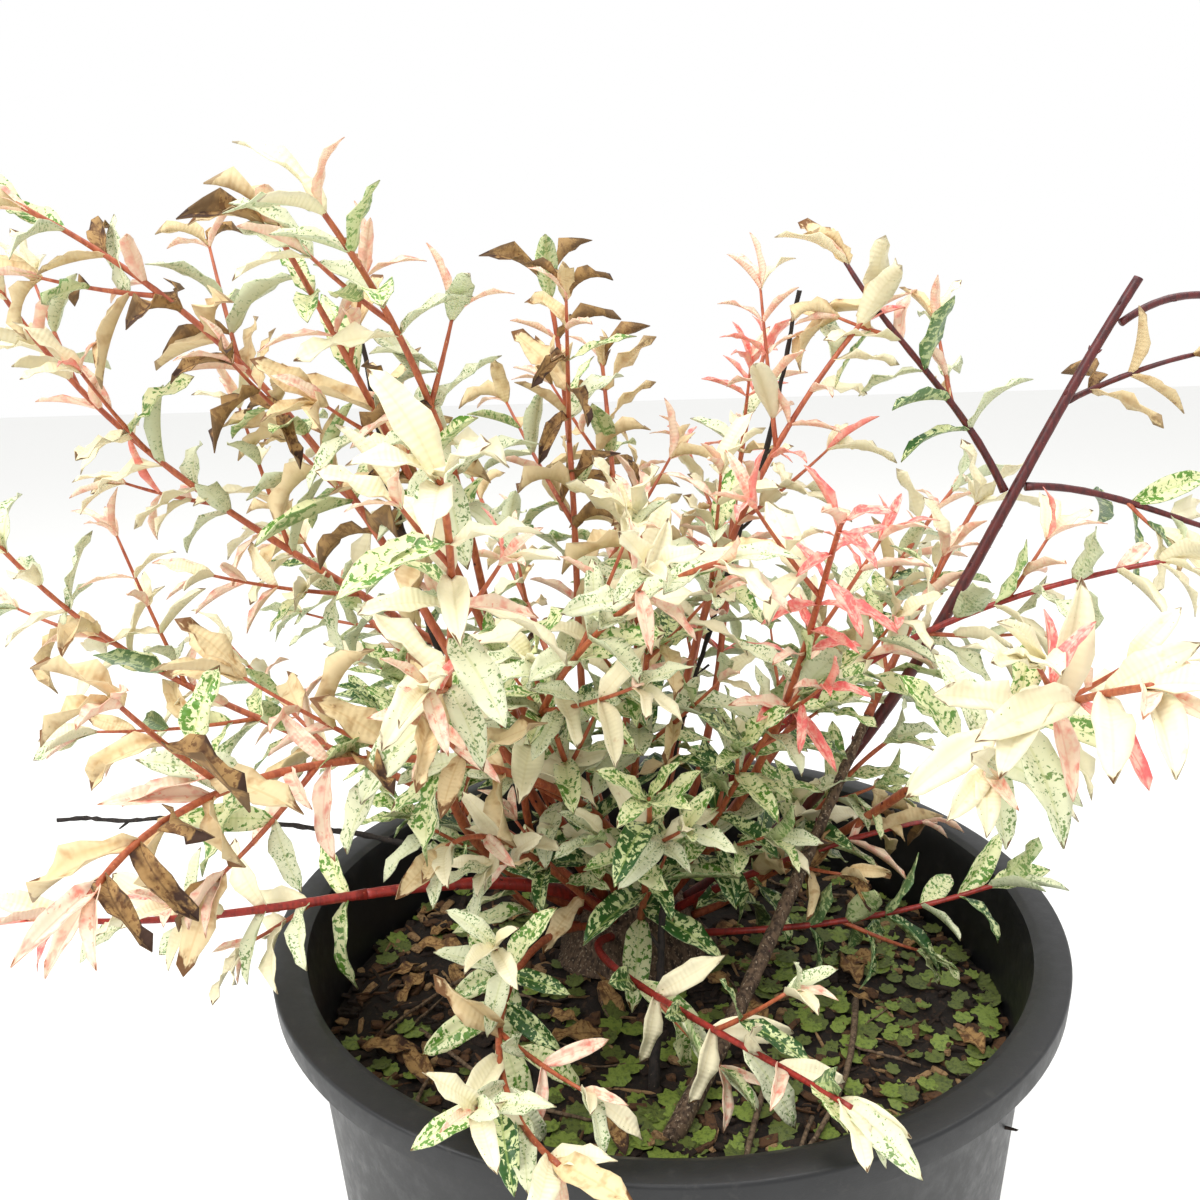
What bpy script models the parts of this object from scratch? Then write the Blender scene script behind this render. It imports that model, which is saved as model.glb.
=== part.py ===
"""Potted dappled willow: a many-stemmed shrub in a black nursery pot.

Metres, +Z up. The origin is the middle of the pot's flat underside. The front is at -Y.
Bearings are degrees round the stool, from +X towards +Y. A lift is degrees above level.
"""
import math
import random
from dataclasses import dataclass

import bmesh
import bpy
import numpy as np
from mathutils import Matrix, Vector
from mathutils.bvhtree import BVHTree

# Clearance between neighbouring solids
GAP = 0.0003
# Points nearer than this are one
WELD = 0.0000002

# Pot: a three-gallon nursery pot
POT_HEIGHT = 0.240
RIM_RADIUS = 0.140
RIM_INNER_RADIUS = 0.1308
RIM_DEPTH = 0.0087
RIM_SKIN = 0.0024
RIM_CHAMFER = 0.0008
WALL_TOP_RADIUS = 0.1294
WALL_BASE_RADIUS = 0.1125
WALL = 0.0022
FLOOR = 0.0028
FOOT_CHAMFER = 0.0025
POT_SIDES = 56
DRAIN_COUNT = 8
DRAIN_WIDTH = 0.014
DRAIN_HEIGHT = 0.007
DRAIN_LENGTH = 0.016

# Soil: potting bark up to a few centimetres under the rim
SOIL_LEVEL = POT_HEIGHT - 0.036
SOIL_EDGE_DIP = 0.004
SOIL_EDGE_WIDTH = 0.014

# Stool: the woody crown that the stems rise from
STOOL_X = -0.012
STOOL_Y = 0.030
STOOL_RADIUS = 0.026
STOOL_LIFT = 0.004
STOOL_FLARE = 0.24
STOOL_FLARE_HEIGHT = 0.0045
STOOL_BUTTRESSES = 5
STOOL_SIDES = 18

# Limbs
FOOT_SPACING = 14.0
LOWEST_START = 22.0
CURVE_HOLD = 0.38
PATH_POINTS = 41
LIMB_CLEARANCE = 0.0012
FORK_CLEAR = 0.014
BOUGH_SIDES = 6
BOUGH_SPANS = 7
TWIG_SIDES = 3
STEM_SPANS = 7
TWIG_SPANS = 2

# Leaves, a little larger than life because they are fewer
LEAF_LENGTH = 0.042
LEAF_WIDTH = 0.33
LEAF_THICKNESS = 0.0011
LEAF_WIDEST = 0.44
LEAF_RIDGE = 0.34
LEAF_ARCH = 0.07
LEAF_SPACING = 0.0365
LEAF_SIZES = (0.80, 1.12)
LEAF_TIP_SHRINK = 0.18
LOW_LEAF_SHRINK = 0.85
LOW_RISE = 0.09
LEAF_OPEN = 58.0
LEAF_CLOSING = 20.0
TUFT_OPEN = 22.0
OPEN_SPREAD = 9.0
TURN_SPREAD = 25.0
ROLL_SPREAD = 20.0
LEAF_DROOP = (-0.25, 0.10)
LEAF_CLEARANCE = 0.0006
LEAF_ROOT_SHARE = 0.16
PAIR_OFFSET = 0.0009
LEAF_SINK = 0.0004

# Side twigs
TWIG_SPACING = 0.060
TWIG_SHARE = 0.30
TWIG_LENGTHS = (0.75, 1.10)
TWIG_TIP_SHRINK = 0.4
TWIG_SPREAD = 0.75
TWIG_CURL = 0.10
TWIG_RADII = (0.0009, 0.0006)
TWIG_BARE = 0.018
TWIG_TRIES = 5
TWIG_LEAF_SHRINK = 0.92
FIRST_TWIG = 0.012
LAST_TWIG = 0.035
MASS_BARE = 0.06
GOLDEN_TURN = 137.5
SPACE_RADIUS = 0.080
SEED = 417


@dataclass(frozen=True)
class Shoot:
    """A stem from its foot to its tip, with leaves on all but its bare share.

    The tip stands at a bearing, a reach from the stool's axis and a rise above the soil.
    start and finish are the bearing and lift of the stem as it leaves its foot and at its tip.
    A shoot with a bough has its bare share as a limb of its own. dense sets its leaves closer.
    A shoot on another one leaves that one's limb, at a share of its length.
    """

    name: str
    tip: tuple
    start: tuple
    finish: tuple
    girth: float = 0.0042
    bare: float = 0.40
    bough: bool = False
    leafy: bool = True
    dense: float = 1.0
    foot: tuple = None
    end: float = 0.0016
    on: str = ""
    at: float = 0.0


SHOOTS = (
    Shoot("right_tall", (0, 0.178, 0.254), (0, 31), (0, 60), 0.0062, 1.0, True, end=0.0034),
    Shoot("upper_left_front", (236, 0.130, 0.276), (165, 52), (230, 50), 0.0046, 0.60, True),
    Shoot("upper_left", (223, 0.125, 0.272), (185, 72), (236, 58), 0.0046, 0.55, True),
    Shoot("far_left_high", (197, 0.189, 0.285), (213, 53), (205, 30), 0.0048, 0.50, True),
    Shoot("far_left", (191, 0.204, 0.262), (155, 78), (207, 65), 0.0046, 0.42, True),
    Shoot("left_middle", (185, 0.229, 0.176), (174, 46), (201, 59), 0.0042, 0.40),
    Shoot("front_left", (218, 0.204, 0.084), (231, 43), (230, 28), 0.0062, 0.52, True),
    Shoot("near_left", (241, 0.224, 0.131), (277, 72), (275, -6), 0.0040, 0.40),
    Shoot("near_front", (258, 0.168, 0.214), (205, 36), (262, 50), 0.0044, 0.58, True),
    Shoot("top_middle", (180, 0.025, 0.260), (219, 58), (202, 80), 0.0036, 0.45),
    Shoot("top_back_left", (98, 0.072, 0.232), (120, 80), (110, 74), 0.0036, 0.42),
    Shoot("top_back_right", (50, 0.092, 0.234), (10, 66), (52, 58), 0.0038, 0.42),
    Shoot("top_right", (0, 0.088, 0.246), (330, 78), (0, 50), 0.0040, 0.45),
    Shoot("middle_front", (286, 0.114, 0.182), (209, 49), (320, 18), 0.0034, 0.34),
    Shoot("right_fork", (7, 0.080, 0.264), (178, 64), (143, 56), 0.0030, 0.25,
          on="right_tall", at=0.70),
    Shoot("right_outer", (358, 0.220, 0.164), (11, 0), (16, -14), 0.0030, 0.30,
          on="right_tall", at=0.72),
    Shoot("right_upper", (359, 0.198, 0.228), (40, 12), (0, 10), 0.0026, 0.20,
          on="right_tall", at=0.835),
    Shoot("right_end", (3, 0.222, 0.246), (10, 34), (0, -8), 0.0030, 1.0, True,
          end=0.0024, on="right_tall", at=0.925),
    Shoot("right_back", (15, 0.144, 0.172), (58, 22), (38, 46), 0.0070, 0.62, True,
          foot=(0.004, -0.075)),
    Shoot("right_pink", (302, 0.118, 0.190), (343, 60), (270, 38), 0.0040, 0.44),
    Shoot("right_middle", (346, 0.183, 0.165), (350, 63), (332, 16), 0.0040, 0.42, True),
    Shoot("near_right", (300, 0.218, 0.172), (4, 24), (276, 22), 0.0044, 0.58, True),
    Shoot("low_right", (355, 0.112, 0.057), (327, 43), (25, -14), 0.0036, 0.35, dense=1.2),
    Shoot("low_right_red", (341, 0.137, 0.050), (312, 24), (343, 30), 0.0030, 0.45),
    Shoot("front_trailing", (291, 0.166, 0.047), (249, 26), (302, 12), 0.0032, 0.40),
    Shoot("front_drooping", (265, 0.171, 0.042), (234, 34), (309, 10), 0.0032, 0.36),
    Shoot("low_left", (237, 0.102, 0.086), (248, 40), (254, 6), 0.0032, 0.25, dense=1.3),
    Shoot("back_right", (32, 0.170, 0.170), (24, 44), (34, 40), 0.0046, 0.38, True),
    Shoot("back_middle", (74, 0.180, 0.152), (70, 46), (76, 30), 0.0046, 0.38, True),
    Shoot("back_left", (118, 0.176, 0.172), (112, 48), (120, 40), 0.0046, 0.38, True),
    Shoot("back_far_left", (152, 0.180, 0.154), (146, 44), (154, 34), 0.0042, 0.35),
    Shoot("back_low_right", (52, 0.142, 0.094), (48, 24), (50, 14), 0.0038, 0.28, dense=1.1),
    Shoot("back_low_left", (132, 0.144, 0.088), (132, 22), (134, 12), 0.0038, 0.28, dense=1.1),
    Shoot("heart_left", (196, 0.086, 0.122), (206, 30), (190, 60), 0.0032, 0.16, dense=1.6),
    Shoot("heart_front_left", (245, 0.070, 0.140), (250, 56), (246, 56), 0.0032, 0.20, dense=1.6),
    Shoot("heart_front", (276, 0.078, 0.098), (276, 36), (270, 44), 0.0032, 0.16, dense=1.6),
    Shoot("heart_right", (318, 0.080, 0.126), (318, 52), (322, 52), 0.0032, 0.18, dense=1.6),
    Shoot("heart_low_right", (352, 0.098, 0.092), (352, 24), (350, 40), 0.0032, 0.16, dense=1.4),
    Shoot("heart_top", (275, 0.060, 0.186), (282, 76), (250, 60), 0.0032, 0.30, dense=1.4),
    Shoot("heart_back", (85, 0.056, 0.156), (85, 68), (80, 66), 0.0032, 0.20, dense=1.4),
    Shoot("dead_twig_left", (199, 0.091, 0.252), (200, 50), (200, 84), 0.0026, 1.0, True, False),
    Shoot("dead_twig_right", (17, 0.068, 0.253), (47, 73), (5, 80), 0.0026, 1.0, True, False),
    Shoot("dead_twig_low", (180, 0.234, 0.055), (175, 26), (195, 7), 0.0028, 1.0, True, False),
    Shoot("old_stick", (300, 0.028, 0.070), (88, 48), (92, 60), 0.0040, 1.0, True, False,
          foot=(-0.004, -0.056)),
)


def unit(bearing: float, lift: float) -> np.ndarray:
    """Direction at a bearing and a lift, both in degrees."""
    level = math.cos(math.radians(lift))
    return np.array((
        math.cos(math.radians(bearing)) * level,
        math.sin(math.radians(bearing)) * level,
        math.sin(math.radians(lift)),
    ))


def normalised(vector: np.ndarray) -> np.ndarray:
    """The vector at length one."""
    return vector / max(np.linalg.norm(vector), 1e-12)


def stool_centre() -> np.ndarray:
    """Middle of the dome that the stems stand on."""
    return np.array((STOOL_X, STOOL_Y, SOIL_LEVEL + STOOL_LIFT))


def settled_starts() -> list:
    """Start directions, with the feet on the stool pushed apart to their spacing."""
    starts = [unit(*shoot.start) for shoot in SHOOTS]
    on_stool = [i for i, shoot in enumerate(SHOOTS) if shoot.foot is None and not shoot.on]
    floor = math.sin(math.radians(LOWEST_START))
    for _ in range(400):
        moved = False
        for a in on_stool:
            for b in on_stool:
                if a >= b:
                    continue
                apart = math.degrees(math.acos(min(1.0, float(starts[a] @ starts[b]))))
                if apart >= FOOT_SPACING:
                    continue
                push = (starts[a] - starts[b]) * (FOOT_SPACING - apart + 0.2) / max(apart, 1.0) * 0.5
                starts[a] = normalised(starts[a] + push)
                starts[b] = normalised(starts[b] - push)
                moved = True
        for i in on_stool:
            if starts[i][2] < floor:
                level = normalised(starts[i] * (1, 1, 0)) * math.sqrt(1 - floor * floor)
                starts[i] = level + np.array((0, 0, floor))
        if not moved:
            break
    return starts


def shoot_foot(shoot: Shoot, start: np.ndarray, carrier: tuple) -> np.ndarray:
    """Where a shoot begins: on the stool, in the soil, or just clear of the limb it leaves."""
    if shoot.foot is not None:
        return np.array((*shoot.foot, SOIL_LEVEL + GAP))
    if carrier is None:
        return stool_centre() + start * (STOOL_RADIUS + GAP)
    points, radii = carrier
    centre, ahead = along(points, np.array((shoot.at, shoot.at + 0.01)))
    lean = float(start @ normalised(ahead - centre))
    radius = np.interp(shoot.at, np.linspace(0, 1, len(radii)), radii)
    return centre + start * (radius + GAP + 0.5 * shoot.girth * abs(lean)) / math.sqrt(1 - lean * lean)


def shoot_path(shoot: Shoot, start: np.ndarray, foot: np.ndarray, bend: float,
               swell: float) -> np.ndarray:
    """Points along a shoot, as a cubic curve from its foot to its tip.

    bend turns its middle sideways in degrees, and swell lengthens its hold on its foot.
    """
    bearing, reach, rise = shoot.tip
    axis = np.array((STOOL_X, STOOL_Y, SOIL_LEVEL))
    level = unit(bearing, 0) * reach
    tip = axis + level + np.array((0, 0, rise))
    hold = np.linalg.norm(tip - foot) * CURVE_HOLD
    finish = unit(shoot.finish[0] + bend, shoot.finish[1])
    leave = foot + start * hold * swell
    arrive = tip - finish * hold
    t = np.linspace(0, 1, PATH_POINTS)[:, None]
    s = 1 - t
    return s ** 3 * foot + 3 * s * s * t * leave + 3 * s * t * t * arrive + t ** 3 * tip


def girths(shoot: Shoot, count: int) -> np.ndarray:
    """Radius at each point of a shoot's path, tapering to its tip."""
    share = np.linspace(0, 1, count)
    return 0.5 * (shoot.girth + (shoot.end - shoot.girth) * share ** 0.8)


def nearest(path_a: np.ndarray, path_b: np.ndarray, girth_a: np.ndarray, girth_b: np.ndarray) -> float:
    """Smallest clearance between two tapered paths."""
    apart = np.linalg.norm(path_a[:, None] - path_b[None], axis=2)
    return float((apart - girth_a[:, None] - girth_b[None]).min())


def clear_of_stool(path: np.ndarray, radii: np.ndarray) -> float:
    """Smallest clearance between a tapered path and the stool's dome, past the path's foot."""
    outward = path[1:] - stool_centre()
    apart = np.linalg.norm(outward, axis=1)
    steps = np.diff(path, axis=0)
    steps /= np.linalg.norm(steps, axis=1)[:, None]
    slant = np.sqrt(np.clip(1 - (np.sum(outward * steps, axis=1) / apart) ** 2, 0, 1))
    return float((apart - STOOL_RADIUS - radii[1:] * slant).min())


def lay_paths() -> list:
    """Path of every shoot, each bent aside until it clears the ones before it.

    A shoot on another comes after it in the list, and may be near it close to their fork.
    """
    paths = []
    fine = PATH_POINTS
    limbs = {}
    for shoot, start in zip(SHOOTS, settled_starts()):
        own_girth = girths(shoot, fine)
        foot = shoot_foot(shoot, start, limbs.get(shoot.on))
        best = None
        for swell in (1.0, 0.8, 1.2, 0.6, 1.4):
            for bend in (0, 10, -10, 20, -20, 30, -30, 45, -45):
                path = shoot_path(shoot, start, foot, bend, swell)
                clear = 1.0
                if shoot.foot is None and not shoot.on:
                    clear = min(clear, clear_of_stool(path, own_girth) + LIMB_CLEARANCE - 2 * GAP)
                past = np.linalg.norm(path - foot, axis=1) > FORK_CLEAR
                for other, other_path in zip(SHOOTS, paths):
                    forked = shoot.on and shoot.on in (other.name, other.on)
                    free = past if forked else np.full(fine, True)
                    gap = nearest(path[free], other_path, own_girth[free], girths(other, fine))
                    clear = min(clear, gap)
                if best is None or clear > best[0]:
                    best = (clear, path)
                if clear > LIMB_CLEARANCE:
                    break
            if best[0] > LIMB_CLEARANCE:
                break
        paths.append(best[1])
        limbs[shoot.name] = limb_line(shoot, best[1])
    return paths


def limb_line(shoot: Shoot, path: np.ndarray) -> tuple:
    """Points and radii of the bare share of a shoot."""
    shares = np.linspace(0, shoot.bare, BOUGH_SPANS + 1)
    radii = np.interp(shares, np.linspace(0, 1, PATH_POINTS), girths(shoot, PATH_POINTS))
    return along(path, shares), radii


def along(path: np.ndarray, shares: np.ndarray) -> np.ndarray:
    """Points at given shares of a path's length."""
    steps = np.linalg.norm(np.diff(path, axis=0), axis=1)
    run = np.concatenate(([0.0], np.cumsum(steps)))
    run /= run[-1]
    return np.stack([np.interp(shares, run, path[:, k]) for k in range(3)], axis=1)


def path_length(path: np.ndarray) -> float:
    """Length of a path."""
    return float(np.linalg.norm(np.diff(path, axis=0), axis=1).sum())


def side_frame(tangent: np.ndarray, near: np.ndarray = None) -> tuple:
    """Two directions square to a tangent, the first as close as may be to near."""
    guide = near if near is not None else np.array((0.0, 0.0, 1.0))
    if abs(float(tangent @ normalised(guide))) > 0.95:
        guide = np.array((1.0, 0.0, 0.0))
    first = normalised(guide - tangent * float(guide @ tangent))
    return first, np.cross(tangent, first)


def tube_piece(points: np.ndarray, radii: np.ndarray, sides: int) -> tuple:
    """Points and faces of a closed tapering tube with flat ends."""
    verts = []
    faces = []
    guide = None
    count = len(points)
    for i in range(count):
        tangent = normalised(points[min(i + 1, count - 1)] - points[max(i - 1, 0)])
        first, second = side_frame(tangent, guide)
        guide = first
        for k in range(sides):
            turn = 2 * math.pi * k / sides
            verts.append(points[i] + radii[i] * (first * math.cos(turn) + second * math.sin(turn)))
    for i in range(count - 1):
        for k in range(sides):
            nxt = (k + 1) % sides
            low = i * sides
            high = low + sides
            faces.append((low + k, low + nxt, high + nxt, high + k))
    faces.append(tuple(reversed(range(sides))))
    faces.append(tuple(range((count - 1) * sides, count * sides)))
    return np.array(verts), faces


def leaf_piece(root: np.ndarray, along_leaf: np.ndarray, up: np.ndarray, length: float,
               margin: float = 0.0, skip: float = 0.0) -> tuple:
    """Points and faces of a leaf: an arched lance shape of eight faces.

    margin grows it on all sides, and skip leaves out that share next to its root.
    """
    ahead = normalised(along_leaf)
    above, side = side_frame(ahead, up)
    arch = above * length * LEAF_ARCH
    half_width = 0.5 * length * LEAF_WIDTH + margin
    half_thick = 0.5 * LEAF_THICKNESS + margin
    middle = root + ahead * length * LEAF_WIDEST + arch
    ridge = root + ahead * length * LEAF_RIDGE + arch
    verts = np.array((
        root + ahead * (length * skip - margin) + arch * skip,
        root + ahead * (length + 2 * margin) - arch * 0.5,
        middle + side * half_width,
        middle - side * half_width,
        ridge + above * half_thick,
        ridge - above * half_thick,
    ))
    faces = [(0, 2, 4), (0, 4, 3), (0, 3, 5), (0, 5, 2), (1, 4, 2), (1, 3, 4), (1, 5, 3), (1, 2, 5)]
    return verts, faces


class Crowd:
    """All that has grown so far, to test what would grow next."""

    def __init__(self):
        self.lows = []
        self.highs = []
        self.trees = []
        self.owners = []

    def add(self, piece: tuple, owner: str) -> int:
        """Take in a piece of a node and return its number."""
        verts, faces = piece
        self.lows.append(verts.min(axis=0))
        self.highs.append(verts.max(axis=0))
        self.trees.append(BVHTree.FromPolygons([tuple(v) for v in verts], faces))
        self.owners.append(owner)
        return len(self.trees) - 1

    def touches(self, piece: tuple, owner: str, same: bool, passed: tuple = ()) -> bool:
        """Whether a piece meets pieces of its own node, or else of the other nodes."""
        verts, faces = piece
        low = verts.min(axis=0)
        high = verts.max(axis=0)
        lows = np.array(self.lows)
        highs = np.array(self.highs)
        meets = np.all((lows <= high) & (highs >= low), axis=1)
        tree = BVHTree.FromPolygons([tuple(v) for v in verts], faces)
        for i in np.nonzero(meets)[0]:
            if (self.owners[i] == owner) != same or i in passed:
                continue
            if self.trees[i].overlap(tree):
                return True
        return False


def side_way(tangent: np.ndarray, turn: float) -> np.ndarray:
    """Direction square to a stem, at a turn round it in degrees."""
    first_side, second_side = side_frame(tangent)
    return first_side * math.cos(math.radians(turn)) + second_side * math.sin(math.radians(turn))


def grow_leaves(points: np.ndarray, owner: str, parent: int, crowd: Crowd, rng: random.Random,
                first: float, spacing: float, size: float) -> list:
    """Pairs of leaves along a stem and a tuft at its end, each kept only where it is clear."""
    length = path_length(points)
    pieces = []
    count = max(1, int((length - first) / spacing))
    turn = rng.uniform(0, 360)
    for node in range(count + 1):
        last = node == count
        share = 0.985 if last else (first + node * spacing) / length
        centre, ahead = along(points, np.array((share, share + 0.015)))
        tangent = normalised(ahead - centre)
        turn += 90 + rng.uniform(-TURN_SPREAD, TURN_SPREAD)
        opening = TUFT_OPEN if last else LEAF_OPEN - LEAF_CLOSING * share
        opening = math.radians(opening + rng.uniform(-OPEN_SPREAD, OPEN_SPREAD))
        for pair in range(2):
            out = side_way(tangent, turn + 180 * pair + rng.uniform(-ROLL_SPREAD, ROLL_SPREAD))
            way = tangent * math.cos(opening) + out * math.sin(opening)
            way = normalised(way + np.array((0, 0, rng.uniform(*LEAF_DROOP))))
            face_up = tangent * 0.6 - out * 0.3 + np.array((0, 0, 0.8))
            leaf = LEAF_LENGTH * size * rng.uniform(*LEAF_SIZES) * (1 - LEAF_TIP_SHRINK * share)
            root = centre + tangent * PAIR_OFFSET * (2 * pair - 1) - way * LEAF_SINK
            widened = leaf_piece(root, way, face_up, leaf, LEAF_CLEARANCE)
            outer = leaf_piece(root, way, face_up, leaf, 0.0, LEAF_ROOT_SHARE)
            if crowd.touches(widened, owner, False) or crowd.touches(outer, owner, True, (parent,)):
                continue
            piece = leaf_piece(root, way, face_up, leaf)
            crowd.add(piece, owner)
            pieces.append(piece)
    return pieces


def grow_twig(centre: np.ndarray, tangent: np.ndarray, turn: float, length: float) -> np.ndarray:
    """Points of a side twig that leaves a stem at a turn round it and curls up a little."""
    way = normalised(tangent + side_way(tangent, turn) * TWIG_SPREAD)
    bow = centre + way * length * 0.5
    end = centre + way * length + np.array((0, 0, TWIG_CURL * length))
    t = np.linspace(0, 1, TWIG_SPANS + 1)[:, None]
    return (1 - t) ** 2 * centre + 2 * t * (1 - t) * bow + t * t * end


def grow_mass(shoot: Shoot, stem: tuple, points: np.ndarray, stem_number: int, crowd: Crowd,
              rng: random.Random) -> list:
    """Side twigs and leaves on a shoot's stem, within the space round it."""
    owner = "foliage_" + shoot.name
    pieces = [stem]
    length = path_length(points)
    first = length * (MASS_BARE if shoot.bough else shoot.bare)
    size = 1.0 if shoot.tip[2] > LOW_RISE else LOW_LEAF_SHRINK
    taper = np.linspace(*TWIG_RADII, TWIG_SPANS + 1)
    twigs = []
    turn = rng.uniform(0, 360)
    for station in np.arange(first + FIRST_TWIG, length - LAST_TWIG, TWIG_SPACING / shoot.dense):
        share = station / length
        centre, ahead = along(points, np.array((share, share + 0.02)))
        tangent = normalised(ahead - centre)
        reach = min(SPACE_RADIUS, TWIG_SHARE * length) * rng.uniform(*TWIG_LENGTHS)
        reach *= 1 - TWIG_TIP_SHRINK * share
        for _ in range(TWIG_TRIES):
            turn += GOLDEN_TURN
            twig = grow_twig(centre, tangent, turn, reach)
            outer = along(twig, np.linspace(LEAF_ROOT_SHARE, 1.0, TWIG_SPANS + 1))
            if crowd.touches(tube_piece(twig, taper + LEAF_CLEARANCE, TWIG_SIDES), owner, False):
                continue
            if crowd.touches(tube_piece(outer, taper, TWIG_SIDES), owner, True, (stem_number,)):
                continue
            piece = tube_piece(twig, taper, TWIG_SIDES)
            twigs.append((twig, crowd.add(piece, owner)))
            pieces.append(piece)
            break
    spacing = LEAF_SPACING / shoot.dense
    pieces += grow_leaves(points, owner, stem_number, crowd, rng, first, spacing, size)
    for twig, number in twigs:
        pieces += grow_leaves(twig, owner, number, crowd, rng, TWIG_BARE, spacing,
                              size * TWIG_LEAF_SHRINK)
    return pieces


def plain_material(name: str, colour: tuple, roughness: float) -> bpy.types.Material:
    """A Principled BSDF material of one colour."""
    material = bpy.data.materials.get(name) or bpy.data.materials.new(name)
    material.use_nodes = True
    shader = material.node_tree.nodes["Principled BSDF"]
    shader.inputs["Base Color"].default_value = (*colour, 1.0)
    shader.inputs["Roughness"].default_value = roughness
    shader.inputs["Metallic"].default_value = 0.0
    material.diffuse_color = (*colour, 1.0)
    return material


def new_object(name: str, bm: bmesh.types.BMesh, material: bpy.types.Material) -> bpy.types.Object:
    """An object in the scene from a bmesh, which is freed."""
    mesh = bpy.data.meshes.new(name)
    bm.to_mesh(mesh)
    bm.free()
    mesh.materials.append(material)
    obj = bpy.data.objects.new(name, mesh)
    bpy.context.scene.collection.objects.link(obj)
    return obj


def turned(profile: list, sides: int) -> bmesh.types.BMesh:
    """A closed solid spun from a profile of radius and height, which starts and ends on the axis."""
    bm = bmesh.new()
    points = [bm.verts.new((radius, 0, height)) for radius, height in profile]
    edges = [bm.edges.new(pair) for pair in zip(points, points[1:])]
    bmesh.ops.spin(bm, geom=points + edges, cent=(0, 0, 0), axis=(0, 0, 1), angle=2 * math.pi,
                   steps=sides, use_merge=True)
    bmesh.ops.remove_doubles(bm, verts=bm.verts, dist=0.00001)
    bmesh.ops.recalc_face_normals(bm, faces=bm.faces)
    return bm


def wall_radius(height: float) -> float:
    """Outer radius of the pot's wall at a height."""
    share = height / (POT_HEIGHT - RIM_DEPTH)
    return WALL_BASE_RADIUS + (WALL_TOP_RADIUS - WALL_BASE_RADIUS) * share


def build_pot() -> bpy.types.Object:
    """Tapered wall and floor with a folded rim, and drain holes round the foot."""
    top = POT_HEIGHT
    skin_low = top - RIM_DEPTH
    rim_low = RIM_RADIUS + 0.0005
    throat = top - 0.006
    profile = [
        (0, 0),
        (WALL_BASE_RADIUS - FOOT_CHAMFER, 0),
        (wall_radius(FOOT_CHAMFER), FOOT_CHAMFER),
        (WALL_TOP_RADIUS, skin_low),
        (WALL_TOP_RADIUS + 0.0005, top - RIM_SKIN),
        (RIM_RADIUS - RIM_SKIN, top - RIM_SKIN),
        (rim_low - RIM_SKIN, skin_low),
        (rim_low, skin_low),
        (RIM_RADIUS, top - RIM_CHAMFER),
        (RIM_RADIUS - RIM_CHAMFER, top),
        (RIM_INNER_RADIUS, top),
        (RIM_INNER_RADIUS - 0.0020, top - 0.0015),
        (wall_radius(throat) - WALL, throat),
        (wall_radius(FLOOR) - WALL, FLOOR),
        (0, FLOOR),
    ]
    bm = turned(profile, POT_SIDES)
    pot = new_object("pot", bm, plain_material("Black polypropylene", (0.02, 0.02, 0.022), 0.5))
    cutters = bmesh.new()
    for k in range(DRAIN_COUNT):
        turn = 2 * math.pi * (k + 0.5) / DRAIN_COUNT
        block = bmesh.ops.create_cube(cutters, size=1.0)["verts"]
        bmesh.ops.scale(cutters, verts=block, vec=(DRAIN_LENGTH, DRAIN_WIDTH, DRAIN_HEIGHT))
        bmesh.ops.translate(cutters, verts=block, vec=(WALL_BASE_RADIUS, 0, DRAIN_HEIGHT * 0.35))
        bmesh.ops.rotate(cutters, verts=block, cent=(0, 0, 0), matrix=Matrix.Rotation(turn, 3, "Z"))
    cutter = new_object("drain_cutter", cutters, pot.data.materials[0])
    cut = pot.modifiers.new("drain holes", "BOOLEAN")
    cut.operation = "DIFFERENCE"
    cut.object = cutter
    apply_modifiers(pot)
    bpy.data.objects.remove(cutter)
    return pot


def build_soil() -> bpy.types.Object:
    """Potting mix that fills the pot, level on top with a dip at the wall."""
    inner = WALL + GAP
    low = FLOOR + GAP
    edge = SOIL_LEVEL - SOIL_EDGE_DIP
    profile = [
        (0, low),
        (wall_radius(low) - inner - 0.0006, low),
        (wall_radius(edge) - inner, edge),
        (wall_radius(edge) - inner - SOIL_EDGE_WIDTH, SOIL_LEVEL),
        (0, SOIL_LEVEL),
    ]
    bark_mix = plain_material("Bark mix", (0.05, 0.03, 0.02), 0.95)
    return new_object("soil", turned(profile, POT_SIDES), bark_mix)


def build_stool() -> bpy.types.Object:
    """Woody dome with a flared, buttressed foot, cut flat just above the soil."""
    bm = bmesh.new()
    bmesh.ops.create_uvsphere(bm, u_segments=STOOL_SIDES, v_segments=STOOL_SIDES // 2,
                              radius=STOOL_RADIUS)
    cut = -STOOL_LIFT + GAP
    sliced = bmesh.ops.bisect_plane(bm, geom=bm.verts[:] + bm.edges[:] + bm.faces[:], dist=1e-7,
                                    plane_co=(0, 0, cut), plane_no=(0, 0, 1), clear_inner=True)
    rim = [part for part in sliced["geom_cut"] if isinstance(part, bmesh.types.BMEdge)]
    bmesh.ops.edgeloop_fill(bm, edges=rim)
    for vert in bm.verts:
        height = vert.co.z - cut
        turn = math.atan2(vert.co.y, vert.co.x)
        swell = math.exp(-height / STOOL_FLARE_HEIGHT) * (1 + 0.35 * math.cos(STOOL_BUTTRESSES * turn))
        if height < 2 * STOOL_FLARE_HEIGHT:
            vert.co.x *= 1 + STOOL_FLARE * swell
            vert.co.y *= 1 + STOOL_FLARE * swell
    bmesh.ops.recalc_face_normals(bm, faces=bm.faces)
    bmesh.ops.translate(bm, verts=bm.verts, vec=stool_centre())
    return new_object("stool", bm, plain_material("Old willow bark", (0.18, 0.13, 0.09), 0.9))


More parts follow.
